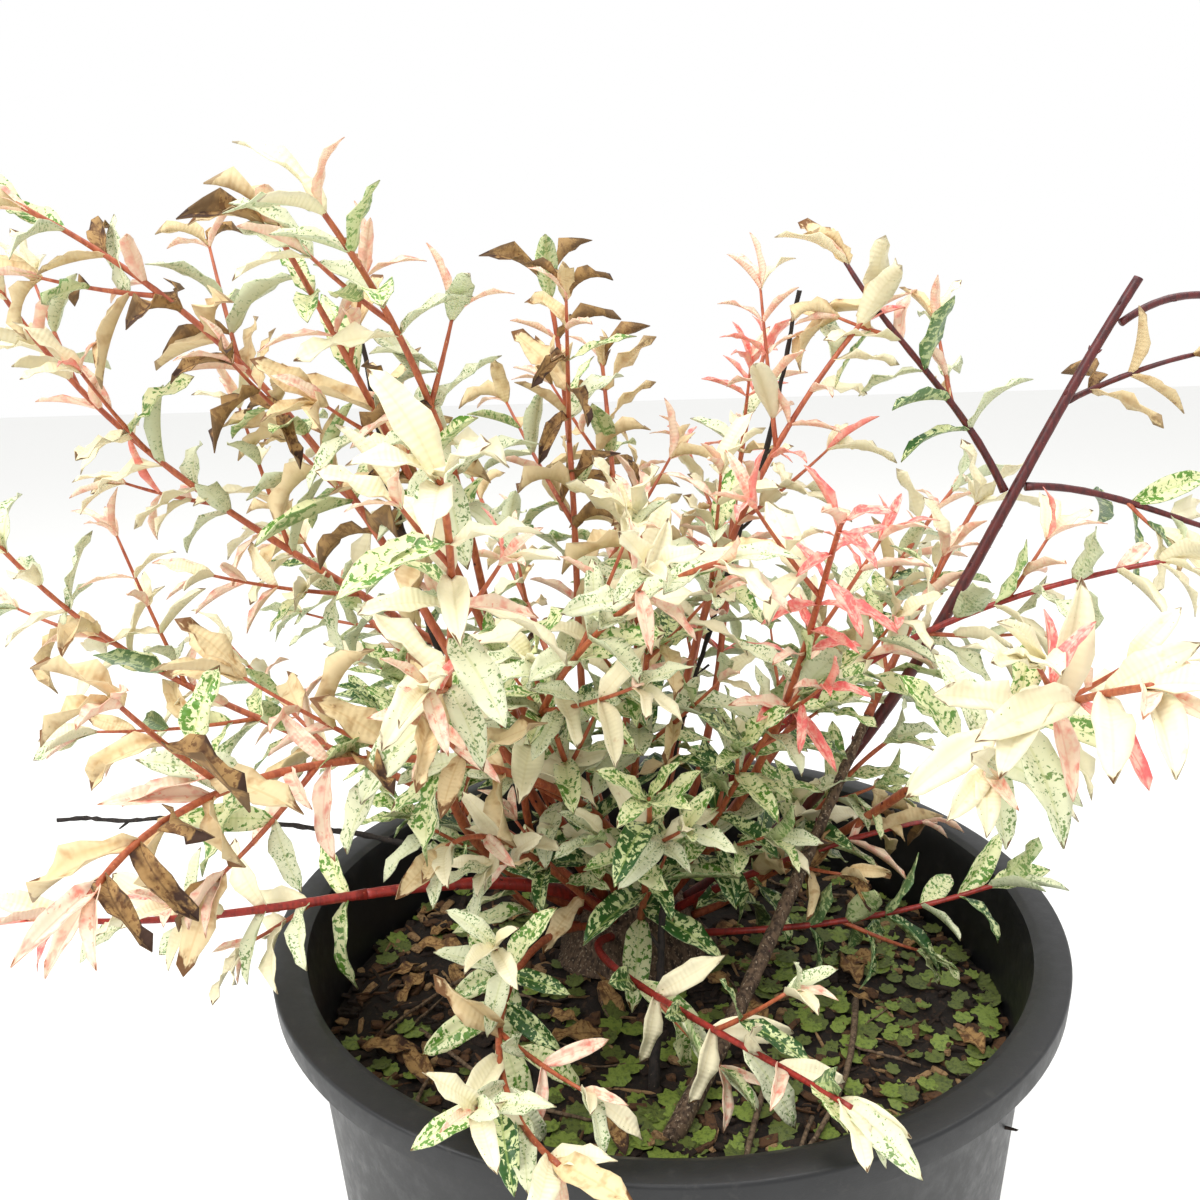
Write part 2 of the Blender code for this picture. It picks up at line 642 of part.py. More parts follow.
def piece_object(name: str, piece: tuple, material: bpy.types.Material) -> bpy.types.Object:
    """An object from a piece's points and faces."""
    verts, faces = piece
    bm = bmesh.new()
    points = [bm.verts.new(Vector(vert)) for vert in verts]
    for face in faces:
        bm.faces.new([points[i] for i in face])
    bmesh.ops.recalc_face_normals(bm, faces=bm.faces)
    return new_object(name, bm, material)


def apply_modifiers(obj: bpy.types.Object) -> None:
    """Make what the object's modifiers give its own mesh."""
    shaped = obj.evaluated_get(bpy.context.evaluated_depsgraph_get())
    mesh = bpy.data.meshes.new_from_object(shaped)
    obj.modifiers.clear()
    old = obj.data
    obj.data = mesh
    mesh.name = obj.name
    bpy.data.meshes.remove(old)


def keep_largest_shell(obj: bpy.types.Object) -> bool:
    """Drop loose scraps and the walls of sealed hollows, and say whether what is left is closed."""
    bm = bmesh.new()
    bm.from_mesh(obj.data)
    bmesh.ops.remove_doubles(bm, verts=bm.verts, dist=WELD)
    unseen = set(bm.verts)
    shells = []
    while unseen:
        seed = unseen.pop()
        shell = [seed]
        queue = [seed]
        while queue:
            for edge in queue.pop().link_edges:
                for vert in edge.verts:
                    if vert in unseen:
                        unseen.remove(vert)
                        shell.append(vert)
                        queue.append(vert)
        shells.append(shell)
    shells.sort(key=len, reverse=True)
    loose = [vert for shell in shells[1:] for vert in shell]
    bmesh.ops.delete(bm, geom=loose, context="VERTS")
    closed = all(len(edge.link_faces) == 2 for edge in bm.edges)
    bm.to_mesh(obj.data)
    bm.free()
    return closed


def fuse(name: str, pieces: list, material: bpy.types.Material) -> bpy.types.Object:
    """One solid from a stem, its twigs and its leaves.

    The last leaves are left off where the whole doesn't close.
    """
    for kept in range(len(pieces), 1, -1):
        for solver in ("EXACT", "MANIFOLD"):
            whole = piece_object(name, pieces[0], material)
            parts = bpy.data.collections.new(name + "_parts")
            for i, piece in enumerate(pieces[1:kept]):
                part = piece_object(f"{name}_{i}", piece, material)
                bpy.context.scene.collection.objects.unlink(part)
                parts.objects.link(part)
            join = whole.modifiers.new("join", "BOOLEAN")
            join.operation = "UNION"
            join.operand_type = "COLLECTION"
            join.collection = parts
            join.solver = solver
            apply_modifiers(whole)
            for part in list(parts.objects):
                bpy.data.objects.remove(part)
            bpy.data.collections.remove(parts)
            if keep_largest_shell(whole):
                return whole
            print(name, solver, kept, "didn't close")
            bpy.data.objects.remove(whole)
    raise RuntimeError(name + " didn't close")


def shape_piece(obj: bpy.types.Object) -> tuple:
    """Points and faces of an object that is in place, for the clearance tests."""
    verts = np.array([tuple(vert.co) for vert in obj.data.vertices])
    return verts, [tuple(face.vertices) for face in obj.data.polygons]


def build_limb(shoot: Shoot, path: np.ndarray) -> tuple:
    """The bough of a shoot: a tapering limb cut flat at its foot and where its leaves begin."""
    points, radii = limb_line(shoot, path)
    if shoot.foot is not None:
        points[0] -= normalised(points[1] - points[0]) * shoot.girth
    return tube_piece(points, radii, BOUGH_SIDES)


def cut_level(obj: bpy.types.Object) -> None:
    """Cut the foot of a limb that stands in the soil flat, just above it."""
    bm = bmesh.new()
    bm.from_mesh(obj.data)
    sliced = bmesh.ops.bisect_plane(bm, geom=bm.verts[:] + bm.edges[:] + bm.faces[:], dist=1e-7,
                                    plane_co=(0, 0, SOIL_LEVEL + GAP), plane_no=(0, 0, 1),
                                    clear_inner=True)
    rim = [part for part in sliced["geom_cut"] if isinstance(part, bmesh.types.BMEdge)]
    bmesh.ops.edgeloop_fill(bm, edges=rim)
    bmesh.ops.recalc_face_normals(bm, faces=bm.faces)
    bm.to_mesh(obj.data)
    bm.free()


def main() -> None:
    """Build the pot, its filling, the stool, the limbs and the foliage."""
    for obj in list(bpy.data.objects):
        bpy.data.objects.remove(obj)
    crowd = Crowd()
    for solid in (build_pot(), build_soil(), build_stool()):
        crowd.add(shape_piece(solid), solid.name)
    red_bark = plain_material("Young willow bark", (0.35, 0.10, 0.06), 0.6)
    grey_bark = plain_material("Dead willow twig", (0.07, 0.055, 0.05), 0.9)
    leaves = plain_material("Willow leaf", (0.33, 0.38, 0.16), 0.6)
    paths = lay_paths()
    stems = []
    for shoot, path in zip(SHOOTS, paths):
        if shoot.bough:
            name = ("bough_" if shoot.leafy else "") + shoot.name
            limb = piece_object(name, build_limb(shoot, path), red_bark if shoot.leafy else grey_bark)
            if shoot.foot is not None:
                cut_level(limb)
            crowd.add(shape_piece(limb), name)
        if shoot.bare == 1.0:
            continue
        begin = shoot.bare + GAP / path_length(path) if shoot.bough else 0.0
        shares = np.linspace(begin, 1.0, STEM_SPANS + 1)
        points = along(path, shares)
        radii = np.interp(shares, np.linspace(0, 1, PATH_POINTS), girths(shoot, PATH_POINTS))
        piece = tube_piece(points, radii, TWIG_SIDES)
        number = crowd.add(piece, "foliage_" + shoot.name)
        stems.append((shoot, piece, points, number))
    for order, (shoot, piece, points, number) in enumerate(stems):
        pieces = grow_mass(shoot, piece, points, number, crowd, random.Random(SEED + order))
        fuse("foliage_" + shoot.name, pieces, leaves)


main()
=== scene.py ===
"""Looks of a potted dappled willow: a many-stemmed shrub in a black nursery pot.

Metres, +Z up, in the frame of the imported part. Bearings are degrees round the stool, from +X
towards +Y, and a lift is degrees above level. The stems follow the source's own growth rule, and
the twigs and leaves on them are carried on finer within the same reach.
"""
import logging
import math
import random
from dataclasses import dataclass, field
from enum import Enum

import bmesh
import bpy
import numpy as np
from mathutils import Matrix, Vector, noise


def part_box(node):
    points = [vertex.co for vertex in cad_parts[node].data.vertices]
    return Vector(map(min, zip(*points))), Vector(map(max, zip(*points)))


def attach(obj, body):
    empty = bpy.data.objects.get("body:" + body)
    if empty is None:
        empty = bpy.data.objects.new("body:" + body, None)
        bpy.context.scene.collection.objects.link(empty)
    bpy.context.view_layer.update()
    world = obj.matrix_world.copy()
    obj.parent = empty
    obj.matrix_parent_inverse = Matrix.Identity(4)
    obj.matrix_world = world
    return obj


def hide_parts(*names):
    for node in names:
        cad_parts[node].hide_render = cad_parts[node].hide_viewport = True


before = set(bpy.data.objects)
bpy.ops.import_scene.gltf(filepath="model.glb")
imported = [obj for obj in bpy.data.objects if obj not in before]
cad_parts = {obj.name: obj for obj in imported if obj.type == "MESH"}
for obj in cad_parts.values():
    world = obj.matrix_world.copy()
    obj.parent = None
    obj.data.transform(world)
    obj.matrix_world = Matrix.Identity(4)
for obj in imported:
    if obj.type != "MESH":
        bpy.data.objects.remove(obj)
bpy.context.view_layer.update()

LOG = logging.getLogger("willow")
BODY = "root"
BAKE_MAP = "OFBake"
MM = 0.001

# Driving sizes shared with the source
GAP = 0.0003
RIM_DEPTH = 0.0087
RIM_SKIN = 0.0024
RIM_INNER_RADIUS = 0.1308
WALL_TOP_RADIUS = 0.1294
WALL_BASE_RADIUS = 0.1125
WALL = 0.0022
FLOOR = 0.0028
FOOT_CHAMFER = 0.0025
DRAIN_COUNT = 8
DRAIN_WIDTH = 0.014
DRAIN_HEIGHT = 0.007
DRAIN_LENGTH = 0.016
POT_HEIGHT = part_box("pot")[1].z
RIM_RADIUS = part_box("pot")[1].x
SOIL_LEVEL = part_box("soil")[1].z
SOIL_EDGE_DIP = 0.004
SOIL_EDGE_WIDTH = 0.014
STOOL_X = -0.012
STOOL_Y = 0.030
STOOL_RADIUS = 0.026
STOOL_LIFT = 0.004
FOOT_SPACING = 14.0
LOWEST_START = 22.0
CURVE_HOLD = 0.38
PATH_POINTS = 41
LIMB_CLEARANCE = 0.0012
FORK_CLEAR = 0.014
BOUGH_SPANS = 7
SPACE_RADIUS = 0.080
TWIG_SHARE = 0.30
TWIG_SPREAD = 0.75
TWIG_CURL = 0.10
GOLDEN_TURN = 137.5
SEED = 417
# The band at the rim that leaves keep clear of, and how far its skirt is set in
RIM_MIDDLE_RADIUS = 0.1345
RIM_HALF_WIDTH = 0.009
SKIRT_INSET = 0.0005
# Leaves sit in pairs at swollen nodes, and their map is a sheet of square cells
LEAF_NODE_SPACING = 0.0135
SHEET_CELLS = 4
UPPER_ROWS = 2


class Bark(Enum):
    """Kinds of bark, from this year's shoots to dead wood."""

    CORAL = "coral"
    RED = "red"
    MAROON = "maroon"
    OLD = "old"
    DEAD = "dead"


class Leaf(Enum):
    """Kinds of leaf by colour."""

    DEEP = "deep"
    FRESH = "fresh"
    SAGE = "sage"
    CREAM = "cream"
    TAN = "tan"
    BLUSH = "blush"
    CORAL = "coral"
    DRY = "dry"


class Dress(Enum):
    """How a shoot's leaves are coloured, as weights of kinds near its foot and at its tip."""

    SHADE = ({Leaf.DEEP: 7, Leaf.FRESH: 4}, {Leaf.FRESH: 5, Leaf.SAGE: 2, Leaf.CREAM: 1})
    DAPPLED = ({Leaf.DEEP: 2, Leaf.FRESH: 4, Leaf.SAGE: 2, Leaf.TAN: 1},
               {Leaf.CREAM: 4, Leaf.SAGE: 2, Leaf.BLUSH: 3, Leaf.TAN: 1})
    GREY = ({Leaf.SAGE: 5, Leaf.FRESH: 2}, {Leaf.SAGE: 3, Leaf.CREAM: 3, Leaf.BLUSH: 3})
    ROSY = ({Leaf.CREAM: 4, Leaf.SAGE: 3, Leaf.TAN: 1}, {Leaf.CORAL: 6, Leaf.BLUSH: 2})
    SCORCHED = ({Leaf.FRESH: 3, Leaf.TAN: 3, Leaf.DRY: 2, Leaf.SAGE: 2},
                {Leaf.BLUSH: 4, Leaf.TAN: 4, Leaf.DRY: 2})
    PALE = ({Leaf.SAGE: 4, Leaf.CREAM: 4, Leaf.FRESH: 1},
            {Leaf.CREAM: 4, Leaf.BLUSH: 4, Leaf.CORAL: 1})


@dataclass(frozen=True)
class Shoot:
    """A stem from its foot to its tip, as in the source, with its bark and its leaves' colours.

    The tip stands at a bearing, a reach from the stool's axis and a rise above the soil.
    start and finish are the bearing and lift of the stem as it leaves its foot and at its tip.
    """

    name: str
    tip: tuple
    start: tuple
    finish: tuple
    girth: float = 0.0042
    bare: float = 0.40
    bough: bool = False
    dress: Dress = None
    bark: Bark = Bark.CORAL
    dense: float = 1.0
    foot: tuple = None
    end: float = 0.0016
    on: str = ""
    at: float = 0.0


SHOOTS = (
    Shoot("right_tall", (0, 0.178, 0.254), (0, 31), (0, 60), 0.0062, 1.0, True, None, Bark.MAROON,
          end=0.0034),
    Shoot("upper_left_front", (236, 0.130, 0.276), (165, 52), (230, 50), 0.0046, 0.60, True,
          Dress.GREY),
    Shoot("upper_left", (223, 0.125, 0.272), (185, 72), (236, 58), 0.0046, 0.55, True,
          Dress.SCORCHED),
    Shoot("far_left_high", (197, 0.189, 0.285), (213, 53), (205, 30), 0.0048, 0.50, True,
          Dress.SCORCHED),
    Shoot("far_left", (191, 0.204, 0.262), (155, 78), (207, 65), 0.0046, 0.42, True,
          Dress.PALE),
    Shoot("left_middle", (185, 0.229, 0.176), (174, 46), (201, 59), 0.0042, 0.40, False,
          Dress.DAPPLED),
    Shoot("front_left", (218, 0.204, 0.084), (231, 43), (230, 28), 0.0062, 0.52, True,
          Dress.PALE, Bark.RED),
    Shoot("near_left", (241, 0.224, 0.131), (277, 72), (275, -6), 0.0040, 0.40, False,
          Dress.SCORCHED),
    Shoot("near_front", (258, 0.168, 0.214), (205, 36), (262, 50), 0.0044, 0.58, True,
          Dress.PALE),
    Shoot("top_middle", (180, 0.025, 0.260), (219, 58), (202, 80), 0.0036, 0.45, False,
          Dress.SCORCHED),
    Shoot("top_back_left", (98, 0.072, 0.232), (120, 80), (110, 74), 0.0036, 0.42, False,
          Dress.SCORCHED),
    Shoot("top_back_right", (50, 0.092, 0.234), (10, 66), (52, 58), 0.0038, 0.42, False,
          Dress.ROSY),
    Shoot("top_right", (0, 0.088, 0.246), (330, 78), (0, 50), 0.0040, 0.45, False,
          Dress.PALE),
    Shoot("middle_front", (286, 0.114, 0.182), (209, 49), (320, 18), 0.0034, 0.34, False,
          Dress.GREY),
    Shoot("right_fork", (7, 0.080, 0.264), (178, 64), (143, 56), 0.0030, 0.25, False,
          Dress.DAPPLED, Bark.MAROON, on="right_tall", at=0.70),
    Shoot("right_outer", (358, 0.220, 0.164), (11, 0), (16, -14), 0.0030, 0.30, False,
          Dress.DAPPLED, Bark.MAROON, on="right_tall", at=0.72),
    Shoot("right_upper", (359, 0.198, 0.228), (40, 12), (0, 10), 0.0026, 0.20, False,
          Dress.SCORCHED, Bark.MAROON, on="right_tall", at=0.835),
    Shoot("right_end", (3, 0.222, 0.246), (10, 34), (0, -8), 0.0030, 1.0, True, None, Bark.MAROON,
          end=0.0024, on="right_tall", at=0.925),
    Shoot("right_back", (15, 0.144, 0.172), (58, 22), (38, 46), 0.0070, 0.62, True,
          Dress.PALE, Bark.OLD, foot=(0.004, -0.075)),
    Shoot("right_pink", (302, 0.118, 0.190), (343, 60), (270, 38), 0.0040, 0.44, False,
          Dress.ROSY),
    Shoot("right_middle", (346, 0.183, 0.165), (350, 63), (332, 16), 0.0040, 0.42, True,
          Dress.PALE, Bark.RED),
    Shoot("near_right", (300, 0.218, 0.172), (4, 24), (276, 22), 0.0044, 0.58, True,
          Dress.PALE),
    Shoot("low_right", (355, 0.112, 0.057), (327, 43), (25, -14), 0.0036, 0.35, False,
          Dress.SCORCHED, Bark.RED, 1.2),
    Shoot("low_right_red", (341, 0.137, 0.050), (312, 24), (343, 30), 0.0030, 0.45, False,
          Dress.SHADE, Bark.RED),
    Shoot("front_trailing", (291, 0.166, 0.047), (249, 26), (302, 12), 0.0032, 0.40, False,
          Dress.DAPPLED, Bark.RED),
    Shoot("front_drooping", (265, 0.171, 0.042), (234, 34), (309, 10), 0.0032, 0.36, False,
          Dress.DAPPLED),
    Shoot("low_left", (237, 0.102, 0.086), (248, 40), (254, 6), 0.0032, 0.25, False,
          Dress.DAPPLED, dense=1.3),
    Shoot("back_right", (32, 0.170, 0.170), (24, 44), (34, 40), 0.0046, 0.38, True,
          Dress.DAPPLED),
    Shoot("back_middle", (74, 0.180, 0.152), (70, 46), (76, 30), 0.0046, 0.38, True,
          Dress.GREY),
    Shoot("back_left", (118, 0.176, 0.172), (112, 48), (120, 40), 0.0046, 0.38, True,
          Dress.DAPPLED),
    Shoot("back_far_left", (152, 0.180, 0.154), (146, 44), (154, 34), 0.0042, 0.35, False,
          Dress.DAPPLED),
    Shoot("back_low_right", (52, 0.142, 0.094), (48, 24), (50, 14), 0.0038, 0.28, False,
          Dress.SHADE, dense=1.1),
    Shoot("back_low_left", (132, 0.144, 0.088), (132, 22), (134, 12), 0.0038, 0.28, False,
          Dress.SHADE, dense=1.1),
    Shoot("heart_left", (196, 0.086, 0.122), (206, 30), (190, 60), 0.0032, 0.16, False,
          Dress.SHADE, dense=1.6),
    Shoot("heart_front_left", (245, 0.070, 0.140), (250, 56), (246, 56), 0.0032, 0.20, False,
          Dress.SHADE, dense=1.6),
    Shoot("heart_front", (276, 0.078, 0.098), (276, 36), (270, 44), 0.0032, 0.16, False,
          Dress.SHADE, dense=1.6),
    Shoot("heart_right", (318, 0.080, 0.126), (318, 52), (322, 52), 0.0032, 0.18, False,
          Dress.SHADE, dense=1.6),
    Shoot("heart_low_right", (352, 0.098, 0.092), (352, 24), (350, 40), 0.0032, 0.16, False,
          Dress.SHADE, dense=1.4),
    Shoot("heart_top", (275, 0.060, 0.186), (282, 76), (250, 60), 0.0032, 0.30, False,
          Dress.DAPPLED, dense=1.4),
    Shoot("heart_back", (85, 0.056, 0.156), (85, 68), (80, 66), 0.0032, 0.20, False,
          Dress.SHADE, dense=1.4),
    Shoot("dead_twig_left", (199, 0.091, 0.252), (200, 50), (200, 84), 0.0026, 1.0, True,
          None, Bark.DEAD),
    Shoot("dead_twig_right", (17, 0.068, 0.253), (47, 73), (5, 80), 0.0026, 1.0, True,
          None, Bark.DEAD),
    Shoot("dead_twig_low", (180, 0.234, 0.055), (175, 26), (195, 7), 0.0028, 1.0, True,
          None, Bark.DEAD),
    Shoot("old_stick", (300, 0.028, 0.070), (88, 48), (92, 60), 0.0040, 1.0, True,
          None, Bark.DEAD, foot=(-0.004, -0.056)),
)
STOOL_CENTRE = np.array((STOOL_X, STOOL_Y, SOIL_LEVEL + STOOL_LIFT))


def unit(bearing: float, lift: float) -> np.ndarray:
    """Direction at a bearing and a lift.

    Args:
        bearing: degrees from +X towards +Y.
        lift: degrees above level.

    Returns:
        A vector of length one.
    """
    level = math.cos(math.radians(lift))
    return np.array((
        math.cos(math.radians(bearing)) * level,
        math.sin(math.radians(bearing)) * level,
        math.sin(math.radians(lift)),
    ))


def normalised(vector: np.ndarray) -> np.ndarray:
    """Return the vector at length one."""
    return vector / max(np.linalg.norm(vector), 1e-12)


def along(path: np.ndarray, shares: np.ndarray) -> np.ndarray:
    """Read points off a path.

    Args:
        path: points in order.
        shares: shares of the path's length, from 0 to 1.

    Returns:
        One point for each share.
    """
    steps = np.linalg.norm(np.diff(path, axis=0), axis=1)
    run = np.concatenate(([0.0], np.cumsum(steps)))
    run /= run[-1]
    return np.stack([np.interp(shares, run, path[:, k]) for k in range(3)], axis=1)


def path_length(path: np.ndarray) -> float:
    """Return the length of a path."""
    return float(np.linalg.norm(np.diff(path, axis=0), axis=1).sum())


def side_frame(tangent: np.ndarray, near: np.ndarray = None) -> tuple:
    """Find two directions square to a tangent.

    Args:
        tangent: a direction.
        near: what the first of the two keeps close to, or none for up.

    Returns:
        The two directions.
    """
    guide = near if near is not None else np.array((0.0, 0.0, 1.0))
    if abs(float(tangent @ normalised(guide))) > 0.95:
        guide = np.array((1.0, 0.0, 0.0))
    first = normalised(guide - tangent * float(guide @ tangent))
    return first, np.cross(tangent, first)


def side_way(tangent: np.ndarray, turn: float) -> np.ndarray:
    """Find a direction square to a stem.

    Args:
        tangent: the stem's direction.
        turn: degrees round the stem.

    Returns:
        A vector of length one.
    """
    first, second = side_frame(tangent)
    return first * math.cos(math.radians(turn)) + second * math.sin(math.radians(turn))


def station(points: np.ndarray, share: float, ahead: float = 0.02) -> tuple:
    """Find a place on a line and which way the line runs there.

    Args:
        points: the line's points.
        share: share of its length.
        ahead: how much further on the direction is read, as a share.

    Returns:
        The place and the direction.
    """
    centre, further = along(points, np.array((share, share + ahead)))
    return centre, normalised(further - centre)


def pick(weights: dict, rng: random.Random) -> Enum:
    """Draw a key by its weight.

    Args:
        weights: keys with their weights.
        rng: seeded random numbers.

    Returns:
        One key.
    """
    return rng.choices(list(weights), list(weights.values()))[0]


class Skeleton:
    """The paths of all shoots, laid by the source's rule."""

    def __init__(self) -> None:
        """Lay every shoot's path in order, each bent aside until it clears the earlier ones."""
        self.paths = {}
        self.limbs = {}
        starts = self.settled_starts()
        for shoot, start in zip(SHOOTS, starts):
            self.paths[shoot.name] = self.laid(shoot, start)
            self.limbs[shoot.name] = self.limb_line(shoot)

    @staticmethod
    def settled_starts() -> list:
        """Return start directions, with the feet on the stool pushed apart to their spacing."""
        starts = [unit(*shoot.start) for shoot in SHOOTS]
        seated = [i for i, shoot in enumerate(SHOOTS) if shoot.foot is None and not shoot.on]
        floor = math.sin(math.radians(LOWEST_START))
        for _ in range(400):
            moved = False
            for a in seated:
                for b in seated:
                    if a >= b:
                        continue
                    apart = math.degrees(math.acos(min(1.0, float(starts[a] @ starts[b]))))
                    if apart >= FOOT_SPACING:
                        continue
                    short = FOOT_SPACING - apart + 0.2
                    push = (starts[a] - starts[b]) * short / max(apart, 1.0) * 0.5
                    starts[a] = normalised(starts[a] + push)
                    starts[b] = normalised(starts[b] - push)
                    moved = True
            for i in seated:
                if starts[i][2] < floor:
                    level = normalised(starts[i] * (1, 1, 0)) * math.sqrt(1 - floor * floor)
                    starts[i] = level + np.array((0, 0, floor))
            if not moved:
                break
        return starts

    @staticmethod
    def girths(shoot: Shoot, count: int = PATH_POINTS) -> np.ndarray:
        """Return the radius at each point of a shoot's path, tapering to its tip."""
        share = np.linspace(0, 1, count)
        return 0.5 * (shoot.girth + (shoot.end - shoot.girth) * share ** 0.8)

    def foot(self, shoot: Shoot, start: np.ndarray) -> np.ndarray:
        """Find where a shoot begins: on the stool, in the soil, or clear of the limb it leaves.

        Args:
            shoot: the shoot.
            start: the direction it leaves in.

        Returns:
            A point.
        """
        if shoot.foot is not None:
            return np.array((*shoot.foot, SOIL_LEVEL + GAP))
        if not shoot.on:
            return STOOL_CENTRE + start * (STOOL_RADIUS + GAP)
        points, radii = self.limbs[shoot.on]
        centre, tangent = station(points, shoot.at, 0.01)
        lean = float(start @ tangent)
        radius = np.interp(shoot.at, np.linspace(0, 1, len(radii)), radii)
        clear = radius + GAP + 0.5 * shoot.girth * abs(lean)
        return centre + start * clear / math.sqrt(1 - lean * lean)

    @staticmethod
    def curve(shoot: Shoot, start: np.ndarray, foot: np.ndarray, bend: float,
              swell: float) -> np.ndarray:
        """Draw a shoot as a cubic curve from its foot to its tip.

        Args:
            shoot: the shoot.
            start: the direction it leaves in.
            foot: where it begins.
            bend: degrees that its finish turns sideways.
            swell: how long it holds on to its start.

        Returns:
            Points along the curve.
        """
        bearing, reach, rise = shoot.tip
        axis = np.array((STOOL_X, STOOL_Y, SOIL_LEVEL))
        tip = axis + unit(bearing, 0) * reach + np.array((0, 0, rise))
        hold = np.linalg.norm(tip - foot) * CURVE_HOLD
        leave = foot + start * hold * swell
        arrive = tip - unit(shoot.finish[0] + bend, shoot.finish[1]) * hold
        t = np.linspace(0, 1, PATH_POINTS)[:, None]
        s = 1 - t
        return s ** 3 * foot + 3 * s * s * t * leave + 3 * s * t * t * arrive + t ** 3 * tip

    @staticmethod
    def nearest(path_a: np.ndarray, path_b: np.ndarray, girth_a: np.ndarray,
                girth_b: np.ndarray) -> float:
        """Return the smallest clearance between two tapered paths."""
        apart = np.linalg.norm(path_a[:, None] - path_b[None], axis=2)
        return float((apart - girth_a[:, None] - girth_b[None]).min())

    @staticmethod
    def clear_of_stool(path: np.ndarray, radii: np.ndarray) -> float:
        """Return the smallest clearance between a tapered path and the stool, past its foot."""
        outward = path[1:] - STOOL_CENTRE
        apart = np.linalg.norm(outward, axis=1)
        steps = np.diff(path, axis=0)
        steps /= np.linalg.norm(steps, axis=1)[:, None]
        slant = np.sqrt(np.clip(1 - (np.sum(outward * steps, axis=1) / apart) ** 2, 0, 1))
        return float((apart - STOOL_RADIUS - radii[1:] * slant).min())

    def clearance(self, shoot: Shoot, path: np.ndarray, foot: np.ndarray) -> float:
        """Return how far a shoot's path keeps from the stool and from the paths laid so far."""
        own = self.girths(shoot)
        clear = 1.0
        if shoot.foot is None and not shoot.on:
            clear = self.clear_of_stool(path, own) + LIMB_CLEARANCE - 2 * GAP
        past = np.linalg.norm(path - foot, axis=1) > FORK_CLEAR
        for other in SHOOTS:
            if other.name not in self.paths:
                break
            forked = shoot.on and shoot.on in (other.name, other.on)
            free = past if forked else np.full(PATH_POINTS, True)
            gap = self.nearest(path[free], self.paths[other.name], own[free], self.girths(other))
            clear = min(clear, gap)
        return clear

    def laid(self, shoot: Shoot, start: np.ndarray) -> np.ndarray:
        """Find a shoot's path that clears the ones before it.

        Args:
            shoot: the shoot.
            start: the direction it leaves in.

        Returns:
            Points along the path.
        """
        foot = self.foot(shoot, start)
        best = None
        for swell in (1.0, 0.8, 1.2, 0.6, 1.4):
            for bend in (0, 10, -10, 20, -20, 30, -30, 45, -45):
                path = self.curve(shoot, start, foot, bend, swell)
                clear = self.clearance(shoot, path, foot)
                if best is None or clear > best[0]:
                    best = (clear, path)
                if clear > LIMB_CLEARANCE:
                    return best[1]
        return best[1]

    def limb_line(self, shoot: Shoot) -> tuple:
        """Return the points and radii of the bare share of a shoot, as in the source."""
        shares = np.linspace(0, shoot.bare, BOUGH_SPANS + 1)
        radii = np.interp(shares, np.linspace(0, 1, PATH_POINTS), self.girths(shoot))
        return along(self.paths[shoot.name], shares), radii

    def section(self, shoot: Shoot, first: float, last: float, step: float) -> tuple:
        """Read part of a shoot finely.

        Args:
            shoot: the shoot.
            first: share where the part begins.
            last: share where it ends.
            step: metres between points.

        Returns:
            Points and radii.
        """
        path = self.paths[shoot.name]
        count = max(4, int(path_length(path) * (last - first) / step))
        shares = np.linspace(first, last, count + 1)
        radii = np.interp(shares, np.linspace(0, 1, PATH_POINTS), self.girths(shoot))
        return smooth_points(path, shares), radii


def smooth_points(path: np.ndarray, shares: np.ndarray) -> np.ndarray:
    """Read points off a path's smooth curve.

    Args:
        path: points along a smooth curve.
        shares: shares of its length.

    Returns:
        One point for each share, rounded between the path's points.
    """
    points = along(path, shares)
    if len(points) > 2:
        points[1:-1] = (points[:-2] + 2 * points[1:-1] + points[2:]) / 4
    return points


def linear(code: str) -> tuple:
    """Turn an sRGB hex value into a linear colour.

    Args:
        code: six hex digits.

    Returns:
        Red, green, blue and an alpha of one.
    """
    channels = [int(code[i:i + 2], 16) / 255 for i in (0, 2, 4)]
    flat = [c / 12.92 if c <= 0.04045 else ((c + 0.055) / 1.055) ** 2.4 for c in channels]
    return (*flat, 1.0)


def add(tree: bpy.types.NodeTree, kind: str, inputs: dict = None,
        **settings: object) -> bpy.types.Node:
    """Add a node.

    Args:
        tree: the material's node tree.
        kind: the node's type.
        inputs: for each input's name or number, a constant or a socket to link.
        settings: the node's own properties.

    Returns:
        The new node.
    """
    node = tree.nodes.new(kind)
    for name, value in settings.items():
        setattr(node, name, value)
    for socket, value in (inputs or {}).items():
        if isinstance(value, bpy.types.NodeSocket):
            tree.links.new(value, node.inputs[socket])
        else:
            node.inputs[socket].default_value = value
    return node


def new_material(name: str, plain: str, roughness: float) -> tuple:
    """Start a material.

    Args:
        name: the material's name.
        plain: hex value of its main colour.
        roughness: its roughness.

    Returns:
        The material, its node tree and its Principled BSDF.
    """
    material = bpy.data.materials.new(name)
    material.use_nodes = True
    tree = material.node_tree
    shader = tree.nodes["Principled BSDF"]
    shader.inputs["Base Color"].default_value = linear(plain)
    shader.inputs["Roughness"].default_value = roughness
    material.diffuse_color = linear(plain)
    return material, tree, shader


